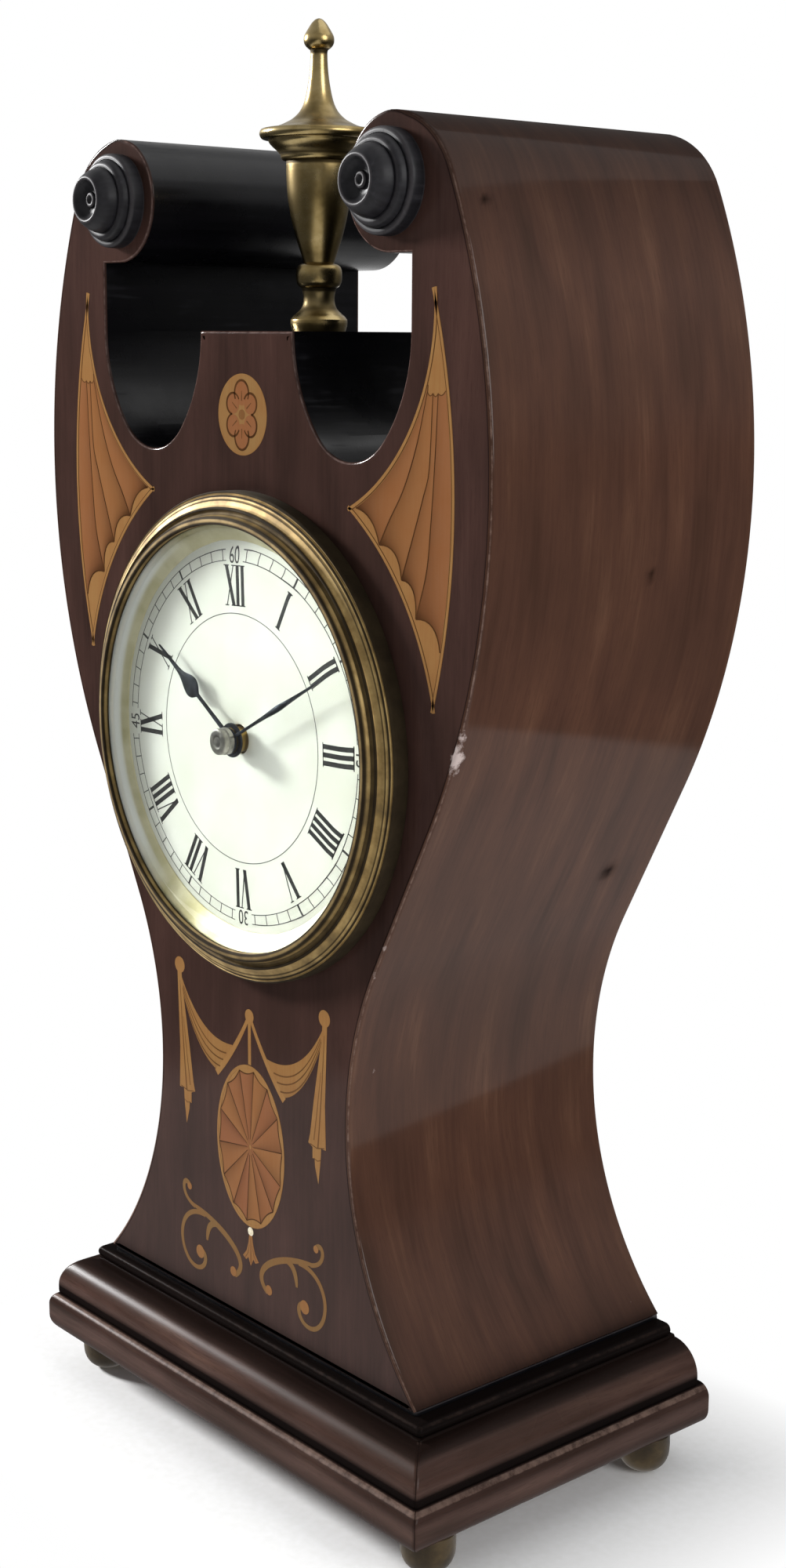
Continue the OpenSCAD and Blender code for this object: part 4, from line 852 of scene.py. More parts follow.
for k, (a, b) in enumerate(zip(rib_lines, rib_lines[1:])):
    grid, burn = [], []
    steps = np.linspace(0, 1, 9)
    for t, (left, right) in enumerate(zip(np.array(a), np.array(b))):
        share = t / (RIB_ROWS - 1)
        # The ends of a rib are rounded, the lower end more than the upper
        lift = np.array([2.2, 3.2]) * share ** 6 + np.array([0, -1.0]) * (1 - share) ** 8
        full = 0.55 if k else 0.4
        grid.append([left + (right - left) * s + lift * 4 * s * (1 - s) * full for s in steps])
        burn.append([0.42 * (1 - s) ** 2.2 * (0.5 + 0.5 * share) + 0.5 * share ** 14 for s in steps])
    shell.append(slip(grid, 0.03, RIB_TONES[k], burn))
    shell.append(slip(ribbon(grid[-1], 0.3, 0.3), 0.045, 0.5, 0.85))
    shell.append(slip(ribbon(grid[0], 0.2, 0.2), 0.045, 0.5, 0.7))
for line in rib_lines[1:4]:
    shell.append(slip(ribbon(line, 0.2, 0.32), 0.04, 0.5, 0.85))
for edge, ring, inset in zip(shell_edges, (SHELL_TOP, SHELL_OUT, SHELL_LOW), (1, -1, 1)):
    string = on_circle(ring, edge[0], edge[-1], inset * 0.36, 48)
    shell.append(slip(ribbon(string, 0.62, 0.62), 0.05, 0.3, 0.0))
    seam = on_circle(ring, edge[0], edge[-1], inset * 0.74, 48)
    shell.append(slip(ribbon(seam[1:-1], 0.16, 0.16), 0.055, 0.5, 0.75))
shells = together(*shell, *[flipped(s) for s in shell])
piece("shell_inlays", shells, [satin], "case", ["shell_inlays"])


# Flower patera: a round of satinwood let in over the dial, with a thin scorched border.
# A six-petalled flower is drawn in it by slips of another colour and by scorched cuts.
PATERA = np.array([-1.0, DIAL_H + 64.8])


def ring_line(centre, rx, ry, start, end, count):
    """Points round part of an oval, between two angles."""
    return [(centre[0] + rx * math.cos(a), centre[1] + ry * math.sin(a))
            for a in np.radians(np.linspace(start, end, count))]


patera = [cut(ring_line(PATERA, 8, 8, 0, 354, 60), 0.02, 0.15, 0.0),
          slip(ribbon(ring_line(PATERA, 7.75, 7.75, 0, 360, 73), 0.4, 0.4), 0.03, 0.3, 0.12)]
PETALS = [((-0.2, 4.2), (2.3, 2.5)), ((2.6, 2.1), (2.1, 2.1)), ((2.6, -2.1), (2.1, 2.2)),
          ((-0.2, -4.3), (2.3, 2.6)), ((-3.0, -2.1), (2.1, 2.2)), ((-3.0, 2.1), (2.1, 2.1))]
for k, ((x, h), (rx, ry)) in enumerate(PETALS):
    middle = PATERA + (x, h)
    way = math.degrees(math.atan2(h, x + 0.2))
    out = np.array([math.cos(math.radians(way)), math.sin(math.radians(way))])
    patera.append(cut(ring_line(middle, rx - 0.1, ry - 0.1, 0, 350, 30), 0.03 + 0.001 * k, 0.85, 0.04))
    edge = ring_line(middle, rx, ry, way - 118, way + 118, 30)
    patera.append(slip(ribbon(edge, 0.3, 0.4, 0.12), 0.045, 0.5, 0.8))
    spine = [middle + out * t for t in (-1.5, -0.4, 0.4)]
    patera.append(slip(ribbon(spine, 0.3, 0.12), 0.05, 0.5, 0.6))
patera.append(cut(ring_line(PATERA + (-0.2, 0), 1.0, 1.0, 0, 340, 18), 0.05, 0.5, 0.35))
piece("patera_inlay", together(*patera), [satin], "case", ["patera_inlay"])


# Swag: drapery of satinwood hung from three beads, with tails hanging at both ends.
# One half is drawn and then turned over for the other; its folds are scorched cuts.
swag = []
upper = cubic([(24.4, 71), (20, 63.5), (14, 59), (6, 60.1)], 30)
lower = cubic([(24.9, 70), (21.8, 61), (16.6, 53.8), (10.6, 53)], 30)
steps = np.linspace(0, 1, 9)
drape = [[a + (b - a) * s for s in steps] for a, b in zip(upper, lower)]
heat = [[0.06 + 0.3 * max(s - 0.6, 0) for s in steps] for _ in drape]
swag.append(slip(drape, 0.02, 0.32, heat))
for share in (0.3, 0.55, 0.8):
    fold = [a + (b - a) * (share + 0.12 * math.sin(3 * t / 29)) for t, (a, b) in enumerate(zip(upper, lower))]
    swag.append(slip(ribbon(fold[2:-1], 0.12, 0.34), 0.035, 0.4, 0.65))
swag.append(cut(ring_line((25, 73.5), 1.8, 1.8, 0, 345, 24), 0.03, 0.35, 0.0))
tail = [(24.4, 72.5), (25.9, 72.5), (25.6, 65), (25.2, 55), (25.5, 45.8), (24, 45.8), (23.8, 43),
        (23.1, 37.9), (22, 41.5), (21.9, 43), (21.2, 43), (21.2, 45.4), (19.8, 46), (20.4, 48), (21.7, 56),
        (23, 63), (24.2, 69.5)]
swag.append(cut(tail, 0.025, 0.3, 0.03))
TAIL_CUTS = [([(25.0, 70), (24.3, 60), (23.4, 50), (22.9, 45.5)], 0.1, 0.4, 0.04, 0.6),
             ([(23.9, 62), (22.6, 53), (21.6, 47)], 0.1, 0.3, 0.04, 0.5),
             ([(20.4, 45.9), (22.6, 45.5), (25.0, 46.1)], 0.2, 0.2, 0.045, 0.7),
             ([(21.6, 43.1), (22.8, 42.8), (23.8, 43.2)], 0.2, 0.2, 0.045, 0.6)]
swag += [slip(ribbon(line, a, b), high, 0.4, burn) for line, a, b, high, burn in TAIL_CUTS]
swag.append(slip(ribbon(cubic([(11.8, 52.6), (8, 56), (3.4, 62), (0.4, 67.4)]), 1.5, 0.9), 0.03, 0.3, 0.0))
swags = together(*swag, *[flipped(s) for s in swag],
                 cut(ring_line((0, 67.9), 1.5, 1.5, 0, 345, 24), 0.035, 0.35, 0.0),
                 slip(ribbon([(0, 57.3), (0, 62), (0, 67.3)], 1.0, 1.0), 0.032, 0.3, 0.0))
piece("swag_inlay", swags, [satin], "case", ["swag_inlay"])


# Oval sunburst: an upright oval of satinwood on the waist, in a pale string border.
# Fourteen tapered slips run out from its middle, each scorched along one side.
OVAL, OVAL_A, OVAL_B = np.array([0.0, 39.1]), 11.8, 18.0
oval = [cut(ring_line(OVAL, OVAL_A, OVAL_B, 0, 357, 120), 0.02, 0.3, 0.0)]
RAYS, RAY_REACH = 14, 0.945
for k in range(RAYS):
    start, end = 360 * k / RAYS + 6, 360 * (k + 1) / RAYS + 6
    grid, burn = [], []
    for t in np.linspace(0.03, 1, 14):
        row, row_burn = [], []
        for s in np.linspace(0, 1, 8):
            a = math.radians(start + (end - start) * s)
            # The outer end of a slip is hollowed a little
            reach = t * (RAY_REACH - (0.055 * 4 * s * (1 - s) if t > 0.99 else 0))
            row.append((OVAL[0] + OVAL_A * reach * math.cos(a), OVAL[1] + OVAL_B * reach * math.sin(a)))
            row_burn.append(0.5 * (1 - s) ** 2.5 * (1 - 0.35 * t) + 0.12 * (t > 0.97))
        grid.append(row)
        burn.append(row_burn)
    oval.append(slip(grid, 0.03, 0.78 + 0.2 * math.sin(k * 2.3), burn))
    oval.append(slip(ribbon([row[0] for row in grid[1:]], 0.12, 0.26), 0.045, 0.5, 0.85))
    oval.append(slip(ribbon(grid[-1], 0.2, 0.3), 0.045, 0.5, 0.8))
border = ring_line(OVAL, OVAL_A - 0.36, OVAL_B - 0.36, 0, 360, 121)
oval.append(slip(ribbon(border, 0.66, 0.66), 0.05, 0.28, 0.0))
piece("oval_inlay", together(*oval), [satin], "case", ["oval_inlay"])


# Scrolls: a pair of scrolls under the oval, fretted from one sheet of satinwood with a fine saw.
# A bell-flower drop and a small ivory bead stand between them.
def ivory_bead(name):
    """Turned bone or ivory: warm white, faintly mottled, softly polished."""
    material, tree = new_material(name)
    spot = add(tree, "TexCoord").outputs["Object"]
    cloud = add(tree, "TexNoise", {"Vector": spot, "Scale": 1 / (0.8 * MM), "Detail": 3})
    tint = add(tree, "ValToRGB", {"Fac": cloud}, [(0.35, "#cbbf9f"), (0.65, "#e8e0cc")])
    shader = add(tree, "BsdfPrincipled", {"Base Color": tint, "Roughness": 0.4, "IOR": 1.54})
    add(tree, "OutputMaterial", {"Surface": shader})
    return material


ivory = ivory_bead("ivory_polished")
BANDS = [([(22.2, 23.6), (24.6, 26.4), (26.4, 20.6), (20.4, 19.4)], 1.3, 1.0, -0.2),
         ([(20.9, 19.6), (10, 18.4), (-1, 12.6), (5.8, 8.2)], 0.8, 1.1, 0.5),
         ([(16.5, 18.5), (22.5, 19), (25.6, 15), (25.3, 11)], 1.0, 1.0, 0.1),
         ([(25.3, 11.2), (25, 7), (21.5, 4.4), (18.5, 5.7)], 1.0, 1.0, 0.0),
         ([(18.7, 5.6), (16, 6.7), (16, 9.8), (18.2, 9.8)], 1.0, 1.3, 0.0),
         ([(11.4, 17.5), (14.8, 17.9), (15.6, 16), (15.9, 12.9)], 0.6, 0.6, 0.8)]
scroll = [slip(ribbon(cubic(points), a, b, c), 0.02 + 0.003 * k, 0.1, 0.22)
          for k, (points, a, b, c) in enumerate(BANDS)]
for x, h, r in ((22.3, 23.5, 0.8), (6.3, 8.9, 1.1), (18.5, 9.4, 1.5)):
    scroll.append(cut(ring_line((x, h), r, r, 0, 345, 24), 0.045, 0.5, 0.05))
flower = [(-0.5, 19.4), (0.5, 19.4), (0.8, 17.4), (1.5, 15.4), (2.8, 13.9), (1.6, 13.3), (0.9, 14), (0, 12.3),
          (-0.9, 14), (-1.6, 13.3), (-2.8, 13.9), (-1.5, 15.4), (-0.8, 17.4)]
stem = [cut(flower, 0.03, 0.5, 0.05),
        slip(ribbon([(0, 18.5), (0, 15.5), (0, 13)], 0.12, 0.3), 0.045, 0.5, 0.5)]
for side in (1, -1):
    vein = [(0.5 * side, 17), (1.0 * side, 15), (1.9 * side, 13.8)]
    stem.append(slip(ribbon(vein, 0.1, 0.2), 0.045, 0.5, 0.45))
wood_part = together(*scroll, *[flipped(s) for s in scroll], *stem)
bead_part = cut(ring_line((0, 20.1), 0.95, 0.95, 0, 340, 18), 0.06, 0.5, 0.0)
piece("scroll_inlays", together(wood_part, bead_part), [satin, ivory], "case",
      ["scroll_inlays"], stuff=[0] * len(wood_part[1]) + [1] * len(bead_part[1]))


# Bezel: a spun and turned brass ring pressed over the drum's flange.
# It has a rounded rim, a sloping band, a ridge, a dark groove and a lip over the glass.
# Browned in its grooves and rubbed bright on the ridges; the groove also carries painted shade, and the outer
# wall is painted near black as shadow and dark reflection.
bezel_line = rounded([(47.05, 1.22, 1), (47.05, 0.02, 1), (49.9, 0.02, 1), (50, 0.3), (50, 2.7), (49.95, 3.1),
                      (49.7, 3.42, 1), (49.3, 3.3, 1), (49.15, 3.6), (48.85, 3.82), (48.5, 3.9, 1),
                      (48.3, 4.1), (47.9, 4.22, 1), (47.3, 4.42), (46.9, 4.7, 1), (46.85, 5.0), (46.6, 5.28),
                      (46.35, 5.25), (46.15, 5.05, 1), (45.85, 4.9), (45.5, 5.0), (45.25, 5.5), (45.1, 6.1),
                      (44.85, 6.5), (44.4, 6.66), (43.8, 6.68), (43.5, 6.56), (43.4, 6.4, 1),
                      (43.4, 5.02, 1), (44.0, 5.02, 1), (44.0, 1.22, 1), (47.05, 1.22, 1)], 5)[:-1]
bezel_brass = brass("brass_spun_bezel", "#75613d", "#937a4b", "#ad935f",
                    rough=0.5, blotch=6, darkening=0.93, metal=0.65)
bezel = turned(bezel_line[::-1], on_dial, closed=True, steps=192, seat=0.4)
for k, (x, y, z) in enumerate(bezel[0]):
    r, p = math.hypot(x, z - CASE_Z - DIAL_H), FRONT_Y - y
    # Painted light: the groove gets painted shade over its tarnish, the outer wall a near-black painted
    # shadow and reflection
    groove_tarnish_and_shade = 45.3 < r < 46.2 and 4 < p < 6
    rim_shade = r > 49.85 and p < 2.9
    if groove_tarnish_and_shade:
        bezel[2]["recess"][k] = 0.45
    elif rim_shade:
        bezel[2]["recess"][k] = 1.0
piece("bezel", bezel, [bezel_brass], "case", ["bezel"], sharp=40)


# Glass: a domed disc with a ground bevel round its edge, held under the bezel's lip.
# Clear soda glass with sharp reflections.
def clear_glass(name):
    """Polished soda glass: colourless, mirror-bright at low angles; daylight passes without a dark shadow."""
    material, tree = new_material(name)
    spot = add(tree, "TexCoord").outputs["Object"]
    # Ripples of old glass about 12 mm across
    wave = add(tree, "TexNoise", {"Vector": spot, "Scale": 1 / (12 * MM), "Detail": 1})
    bump = add(tree, "Bump", {"Strength": 0.02, "Distance": 0.2 * MM, "Height": wave})
    shader = add(tree, "BsdfPrincipled", {"Base Color": colour("#fbfdfb"), "Roughness": 0.0, "IOR": 1.5,
                                          "Transmission Weight": 1.0, "Normal": bump})
    path = add(tree, "LightPath").outputs["Is Shadow Ray"]
    through = add(tree, "BsdfTransparent", {"Color": colour("#f4f7f4")})
    both = add(tree, "MixShader", {0: path, 1: shader, 2: through})
    add(tree, "OutputMaterial", {"Surface": both})
    return material


glass = clear_glass("soda_glass_bevelled")
DOME_R, DOME_H, EDGE_P, GLASS_T = 39.4, 2.8, 6.1, 1.9
reach = np.linspace(0, DOME_R, 22)
over = [(r, EDGE_P + DOME_H * (1 - (r / DOME_R) ** 2)) for r in reach]
under = [(r, p - GLASS_T) for r, p in over[::-1]]
bevel = [(40.4, 5.82), (41.4, 5.53), (42.4, 5.25), (43.3, 5.0), (43.85, 5.0), (43.9, 4.95), (43.9, 3.85),
         (43.85, 3.8), (43.4, 3.8), (41.4, 3.98), (40.2, 4.1)]
glass_shape = turned(np.array((over + bevel + under)[::-1]), on_dial, steps=160)
piece("glass", glass_shape, [glass], "case", ["glass"], sharp=14)


# Sight ring: a spun brass cone between the dial and the glass, silvered once.
# The plating is dull olive; a milk-white crescent along its upper edge at the left is a painted reflection.
def silvered(name):
    """Old silvering on brass: olive and matt where it is worn, milk white where the glare mark paints a
    reflection.
    """
    material, tree = new_material(name)
    spot = add(tree, "TexCoord").outputs["Object"]
    cloud = add(tree, "TexNoise", {"Vector": spot, "Scale": 1 / (6 * MM), "Detail": 4})
    worn = add(tree, "ValToRGB", {"Fac": cloud}, [(0.35, "#bdb488"), (0.65, "#dcd5b3")])
    kept = add(tree, "Attribute", attribute_name="kept").outputs["Fac"]
    tint = add(tree, "Mix", {"Factor": kept, "A": worn, "B": colour("#fbfbf8")}, data_type="RGBA")
    metal = add(tree, "MapRange", {"Value": kept, "To Min": 0.4, "To Max": 0.0})
    gleam = add(tree, "MapRange", {"Value": cloud, "To Min": 0.4, "To Max": 0.55})
    bump = add(tree, "Bump", {"Strength": 0.1, "Distance": 0.05 * MM, "Height": cloud})
    shader = add(tree, "BsdfPrincipled", {"Base Color": tint, "Metallic": metal, "Roughness": gleam,
                                          "Normal": bump})
    add(tree, "OutputMaterial", {"Surface": shader})
    return material


sight_line = rounded([(39.4, 1.24, 1), (39.5, 1.42), (40.0, 1.72), (41.4, 2.6), (42.9, 3.5), (43.3, 3.76, 1),
                      (43.9, 3.76, 1), (43.9, 3.4, 1), (42.0, 2.25), (40.2, 1.24, 1),
                      (39.4, 1.24, 1)], 5)[:-1]
sight = turned(sight_line[::-1], on_dial, closed=True, steps=160, seat=0.4)
# Painted reflection: white only on the upper rim at the left
sight[2]["kept"] = []
for x, y, z in sight[0]:
    up = z - CASE_Z - DIAL_H
    r, turn = math.hypot(x, up), math.degrees(math.atan2(up, -x))
    sight[2]["kept"].append(np.interp(r, [40.7, 41.2], [0, 1]) * np.interp(abs(turn - 5), [42, 62], [1, 0]))
piece("sight_ring", sight, [silvered("silvering_worn_with_glare")], "case", ["sight_ring"])


# Dial: a copper disc with fired white enamel; numerals and track are printed in black and fired on.
# Roman hours, a double minute track broken by quarter figures; the print stands a little askew.
def fired_enamel(name):
    """Vitreous enamel: cool white, faintly clouded, glassy with very slight ripples."""
    material, tree = new_material(name)
    spot = add(tree, "TexCoord").outputs["Object"]
    cloud = add(tree, "TexNoise", {"Vector": spot, "Scale": 1 / (16 * MM), "Detail": 3})
    fleck = add(tree, "TexNoise", {"Vector": spot, "Scale": 1 / (0.5 * MM), "Detail": 2})
    tint = add(tree, "ValToRGB", {"Fac": cloud}, [(0.35, "#ecede2"), (0.65, "#f5f6ef")])
    dot = add(tree, "ValToRGB", {"Fac": fleck}, [(0.78, 0.0), (0.84, 0.35)])
    skin_tint = add(tree, "Mix", {"Factor": dot, "A": tint, "B": colour("#a59d8a")}, data_type="RGBA")
    bump = add(tree, "Bump", {"Strength": 0.03, "Distance": 0.1 * MM, "Height": cloud})
    shader = add(tree, "BsdfPrincipled", {"Base Color": skin_tint, "Roughness": 0.18, "IOR": 1.52,
                                          "Normal": bump})
    add(tree, "OutputMaterial", {"Surface": shader})
    return material


def printed_black(name):
    """Fired black printing: soft black, a little thin and brown in places."""
    material, tree = new_material(name)
    spot = add(tree, "TexCoord").outputs["Object"]
    thin = add(tree, "TexNoise", {"Vector": spot, "Scale": 1 / (0.6 * MM), "Detail": 3})
    tint = add(tree, "ValToRGB", {"Fac": thin}, [(0.4, "#0d0d0f"), (0.75, "#2b2a2b")])
    shader = add(tree, "BsdfPrincipled", {"Base Color": tint, "Roughness": 0.35, "IOR": 1.5})
    add(tree, "OutputMaterial", {"Surface": shader})
    return material


DIAL_P = 1.2
enamel, black_print = fired_enamel("enamel_fired_white"), printed_black("enamel_print_black")
plate_line = rounded([(3.1, 0.2, 1), (3.1, 1.15, 1), (3.3, DIAL_P, 1), (20, DIAL_P), (40.3, DIAL_P, 1),
                      (40.6, 1.1, 1), (40.6, 0.2, 1), (3.1, 0.2, 1)], 3)[:-1]
plate = turned(plate_line[::-1], on_dial, closed=True, steps=160)


def printed(outline):
    """A printed shape on the dial, standing 0.02 mm above the enamel."""
    verts, faces = sheet(outline, on_dial, DIAL_P + 0.02, DIAL_P - 0.02)
    return verts, faces, {"recess": [0.0] * len(verts)}


def printed_ring(r, width, spans):
    """Parts of a printed circle, each from one clockwise angle to another."""
    marks = []
    for start, end in spans:
        turns = np.radians(np.linspace(start, end, max(3, int((end - start) / 2) + 1)))
        outer = [((r + width / 2) * math.sin(a), (r + width / 2) * math.cos(a)) for a in turns]
        inner = [((r - width / 2) * math.sin(a), (r - width / 2) * math.cos(a)) for a in turns]
        for k in range(len(turns) - 1):
            marks.append(printed([outer[k], outer[k + 1], inner[k + 1], inner[k]]))
    return marks


def bar(x0, y0, x1, y1, width):
    """A stroke with ends cut level."""
    return [(x0 - width / 2, y0), (x0 + width / 2, y0), (x1 + width / 2, y1), (x1 - width / 2, y1)]


TALL, SERIF, PRINT_TURN = 8.2, 0.22, -1.8
TOP = TALL - SERIF
LETTERS = {"I": (1.62, [bar(0, 0, 0, TALL, 0.98), bar(0, 0, 0, SERIF, 1.6), bar(0, TOP, 0, TALL, 1.6)]),
           "V": (3.4, [bar(0.12, 0, -1.2, TALL, 1.05), bar(0.12, 0, 1.25, TALL, 0.27),
                       bar(-1.2, TOP, -1.2, TALL, 1.75), bar(1.25, TOP, 1.25, TALL, 1.2)]),
           "X": (3.3, [bar(1.15, 0, -1.15, TALL, 1.05), bar(-1.15, 0, 1.15, TALL, 0.27),
                       bar(1.15, 0, 1.15, SERIF, 1.7), bar(-1.15, 0, -1.15, SERIF, 1.2),
                       bar(-1.15, TOP, -1.15, TALL, 1.7), bar(1.15, TOP, 1.15, TALL, 1.2)])}
HOURS = ["XII", "I", "II", "III", "IIII", "V", "VI", "VII", "VIII", "IX", "X", "XI"]


def turned_to(points, angle, foot):
    """Places a drawing with its foot toward the centre at a clockwise angle from twelve."""
    a = math.radians(angle)
    return [(x * math.cos(a) + (y + foot) * math.sin(a), -x * math.sin(a) + (y + foot) * math.cos(a))
            for x, y in points]


HOUR_RING, TRACK_IN, TRACK_OUT, LINE_W = 25.45, 36.0, 38.0, 0.16
HOUR_FOOT, QUARTER_FOOT, QUARTER_SIZE = 26.9, 35.5, 4.3
QUARTERS = [(0, "60"), (90, "15"), (180, "30"), (270, "45")]
marks = printed_ring(HOUR_RING, LINE_W, [(0, 360)])
# The track leaves 4.4 degrees free on both sides of a quarter's figures
clear = [(q + 4.4 + PRINT_TURN, q + 85.6 + PRINT_TURN) for q, _ in QUARTERS]
marks += printed_ring(TRACK_IN, LINE_W, clear) + printed_ring(TRACK_OUT, LINE_W, clear)
for minute in range(60):
    wide = 0.5 if minute % 5 == 0 else 0.2
    if minute % 15:
        stroke = bar(0, 0, 0, TRACK_OUT - TRACK_IN, wide)
        marks.append(printed(turned_to(stroke, 6 * minute + PRINT_TURN, TRACK_IN)))
for hour, word in enumerate(HOURS):
    span = sum(LETTERS[c][0] for c in word)
    x = -span / 2
    for c in word:
        advance, strokes = LETTERS[c]
        for stroke in strokes:
            shifted = [(px + x + advance / 2, py) for px, py in stroke]
            marks.append(printed(turned_to(shifted, 30 * hour + PRINT_TURN, HOUR_FOOT)))
        x += advance
for angle, word in QUARTERS:
    letters = bpy.data.curves.new("quarter_" + word, "FONT")
    letters.body, letters.size, letters.align_x = word, QUARTER_SIZE, "CENTER"
    drawn = bpy.data.objects.new("quarter_" + word, letters)
    scene.collection.objects.link(drawn)
    figures = bpy.data.meshes.new_from_object(drawn.evaluated_get(bpy.context.evaluated_depsgraph_get()))
    for poly in figures.polygons:
        outline = [(figures.vertices[k].co.x * 0.8, figures.vertices[k].co.y) for k in poly.vertices]
        marks.append(printed(turned_to(outline, angle + PRINT_TURN, QUARTER_FOOT)))
    bpy.data.objects.remove(drawn)
    bpy.data.curves.remove(letters)
    bpy.data.meshes.remove(figures)
print_shape = together(*marks)
piece("dial", together(plate, print_shape), [enamel, black_print], "case", ["dial"],
      stuff=[0] * len(plate[1]) + [1] * len(print_shape[1]))


# Hands: sawn and filed steel, fire-blued so dark that they look black, each pushed on its own pipe.
# The hour hand has a pear-shaped leaf and a fine tip; the minute hand is a long thin leaf.
def blued(name):
    """Fire-blued steel: blue-black, thin satin sheen, paler on filed edges."""
    material, tree = new_material(name)
    spot = add(tree, "TexCoord").outputs["Object"]
    cloud = add(tree, "TexNoise", {"Vector": spot, "Scale": 1 / (2.5 * MM), "Detail": 3})
    tint = add(tree, "ValToRGB", {"Fac": cloud}, [(0.35, "#1b1d24"), (0.65, "#343842")])
    gleam = add(tree, "MapRange", {"Value": cloud, "To Min": 0.3, "To Max": 0.45})
    shader = add(tree, "BsdfPrincipled", {"Base Color": tint, "Metallic": 1.0, "Roughness": gleam})
    add(tree, "OutputMaterial", {"Surface": shader})
    return material


blued_steel = blued("steel_fire_blued")


MINUTE_AT = 62.0
# The hour hand sits 1.4 degrees behind its true place
HOUR_AT = 298.6 + MINUTE_AT / 12


def hand(half_line, hub_r, bore, low, high, angle):
    """A flat hand: half widths along its length, an eye round its pipe, edges filed off."""
    verts, faces = [], []
    across = [(-1, 0.1), (-0.8, 0.02), (0, 0), (0.8, 0.02), (1, 0.1)]
    line = rounded(half_line, 5)
    for y, w in line:
        for share, drop in across:
            (px, pz), = turned_to([(share * w, y)], angle, 0)
            verts += [on_dial(px, pz, high - drop), on_dial(px, pz, low)]
    row = 2 * len(across)
    for a in range(0, (len(line) - 1) * row, row):
        for c in range(a, a + row - 2, 2):
            faces += [[c, c + 2, c + row + 2, c + row], [c + 1, c + row + 1, c + row + 3, c + 3]]
        b = a + row
        faces += [[a, b, b + 1, a + 1], [a + row - 2, a + row - 1, b + row - 1, b + row - 2]]
    for start in (0, (len(line) - 1) * row):
        faces.append([start + k for k in list(range(0, row, 2)) + list(range(row - 1, 0, -2))])
    blade = (verts, faces, {"recess": [0.0] * len(verts)})
    eye = np.array([(bore, low), (hub_r, low), (hub_r, high - 0.1), (hub_r - 0.1, high), (bore, high)])
    return together(blade, turned(eye[::-1], on_dial, closed=True, steps=48))


hour_hand = hand([(3.2, 0.5), (9, 0.4), (13.3, 0.4), (14.0, 0.6), (14.9, 1.6), (15.9, 2.1), (16.8, 2.2),
                  (18.1, 1.85), (19.5, 1.2), (21.3, 0.6), (25, 0.34), (28, 0.2), (30, 0.06)],
                 hub_r=3.5, bore=2.6, low=2.9, high=3.3, angle=HOUR_AT)
piece("hour_hand", hour_hand, [blued_steel], "hour_work", ["hour_hand"])
minute_hand = hand([(2.4, 0.3), (8, 0.3), (13, 0.38), (17, 0.6), (19, 0.64), (22, 0.48), (27, 0.3),
                    (31, 0.22), (34, 0.06)],
                   hub_r=2.7, bore=1.8, low=3.8, high=4.2, angle=MINUTE_AT)
piece("minute_hand", minute_hand, [blued_steel], "minute_work", ["minute_hand"])


# Collet: a turned steel cap, pushed on the centre arbor to keep the hands on.
# It has a groove round its side and a dished top, and is duller than the movement's steel.
collet_line = rounded([(0, 4.2, 1), (2.6, 4.2, 1), (2.75, 4.35, 1), (2.75, 5.2, 1), (2.55, 5.4, 1),
                       (2.53, 5.5, 1), (2.67, 5.65, 1), (2.65, 6.35), (2.5, 6.58), (2.2, 6.68), (1.5, 6.7),
                       (1.1, 6.6), (0.7, 6.6), (0, 6.65, 1)], 4)
collet_steel = steel("steel_turned_dull", "#6f6d6a", "#a8a49d", rough=0.26)
piece("hand_collet", turned(collet_line, on_dial, steps=64), [collet_steel], "minute_work",
      ["hand_collet"])


# Movement: a drum movement in a spun brass shell, clamped to the back of the front board by a ring.
# Plates, pillars and wheels are brushed and lacquered brass; pinions, arbors and the lever are steel.
movement_brass = brass("brass_sheet_brushed", "#8f7438", "#a88a49", "#bb9f5f",
                       rough=0.3, blotch=8, darkening=0.4)
dress(movement_brass, "drum_shell", "clamp_ring", "front_plate", "back_plate", "pillars", "hour_wheel",
      "set_knob", "minute_wheel", "barrel", "winding_key", "centre_wheel", "third_wheel", "fourth_wheel",
      "balance")
dress(bright_steel, "clamp_screws", "movement_screws", "cannon_pinion", "centre_arbor", "barrel_arbor",
      "ratchet_wheel", "click", "escape_wheel", "lever")


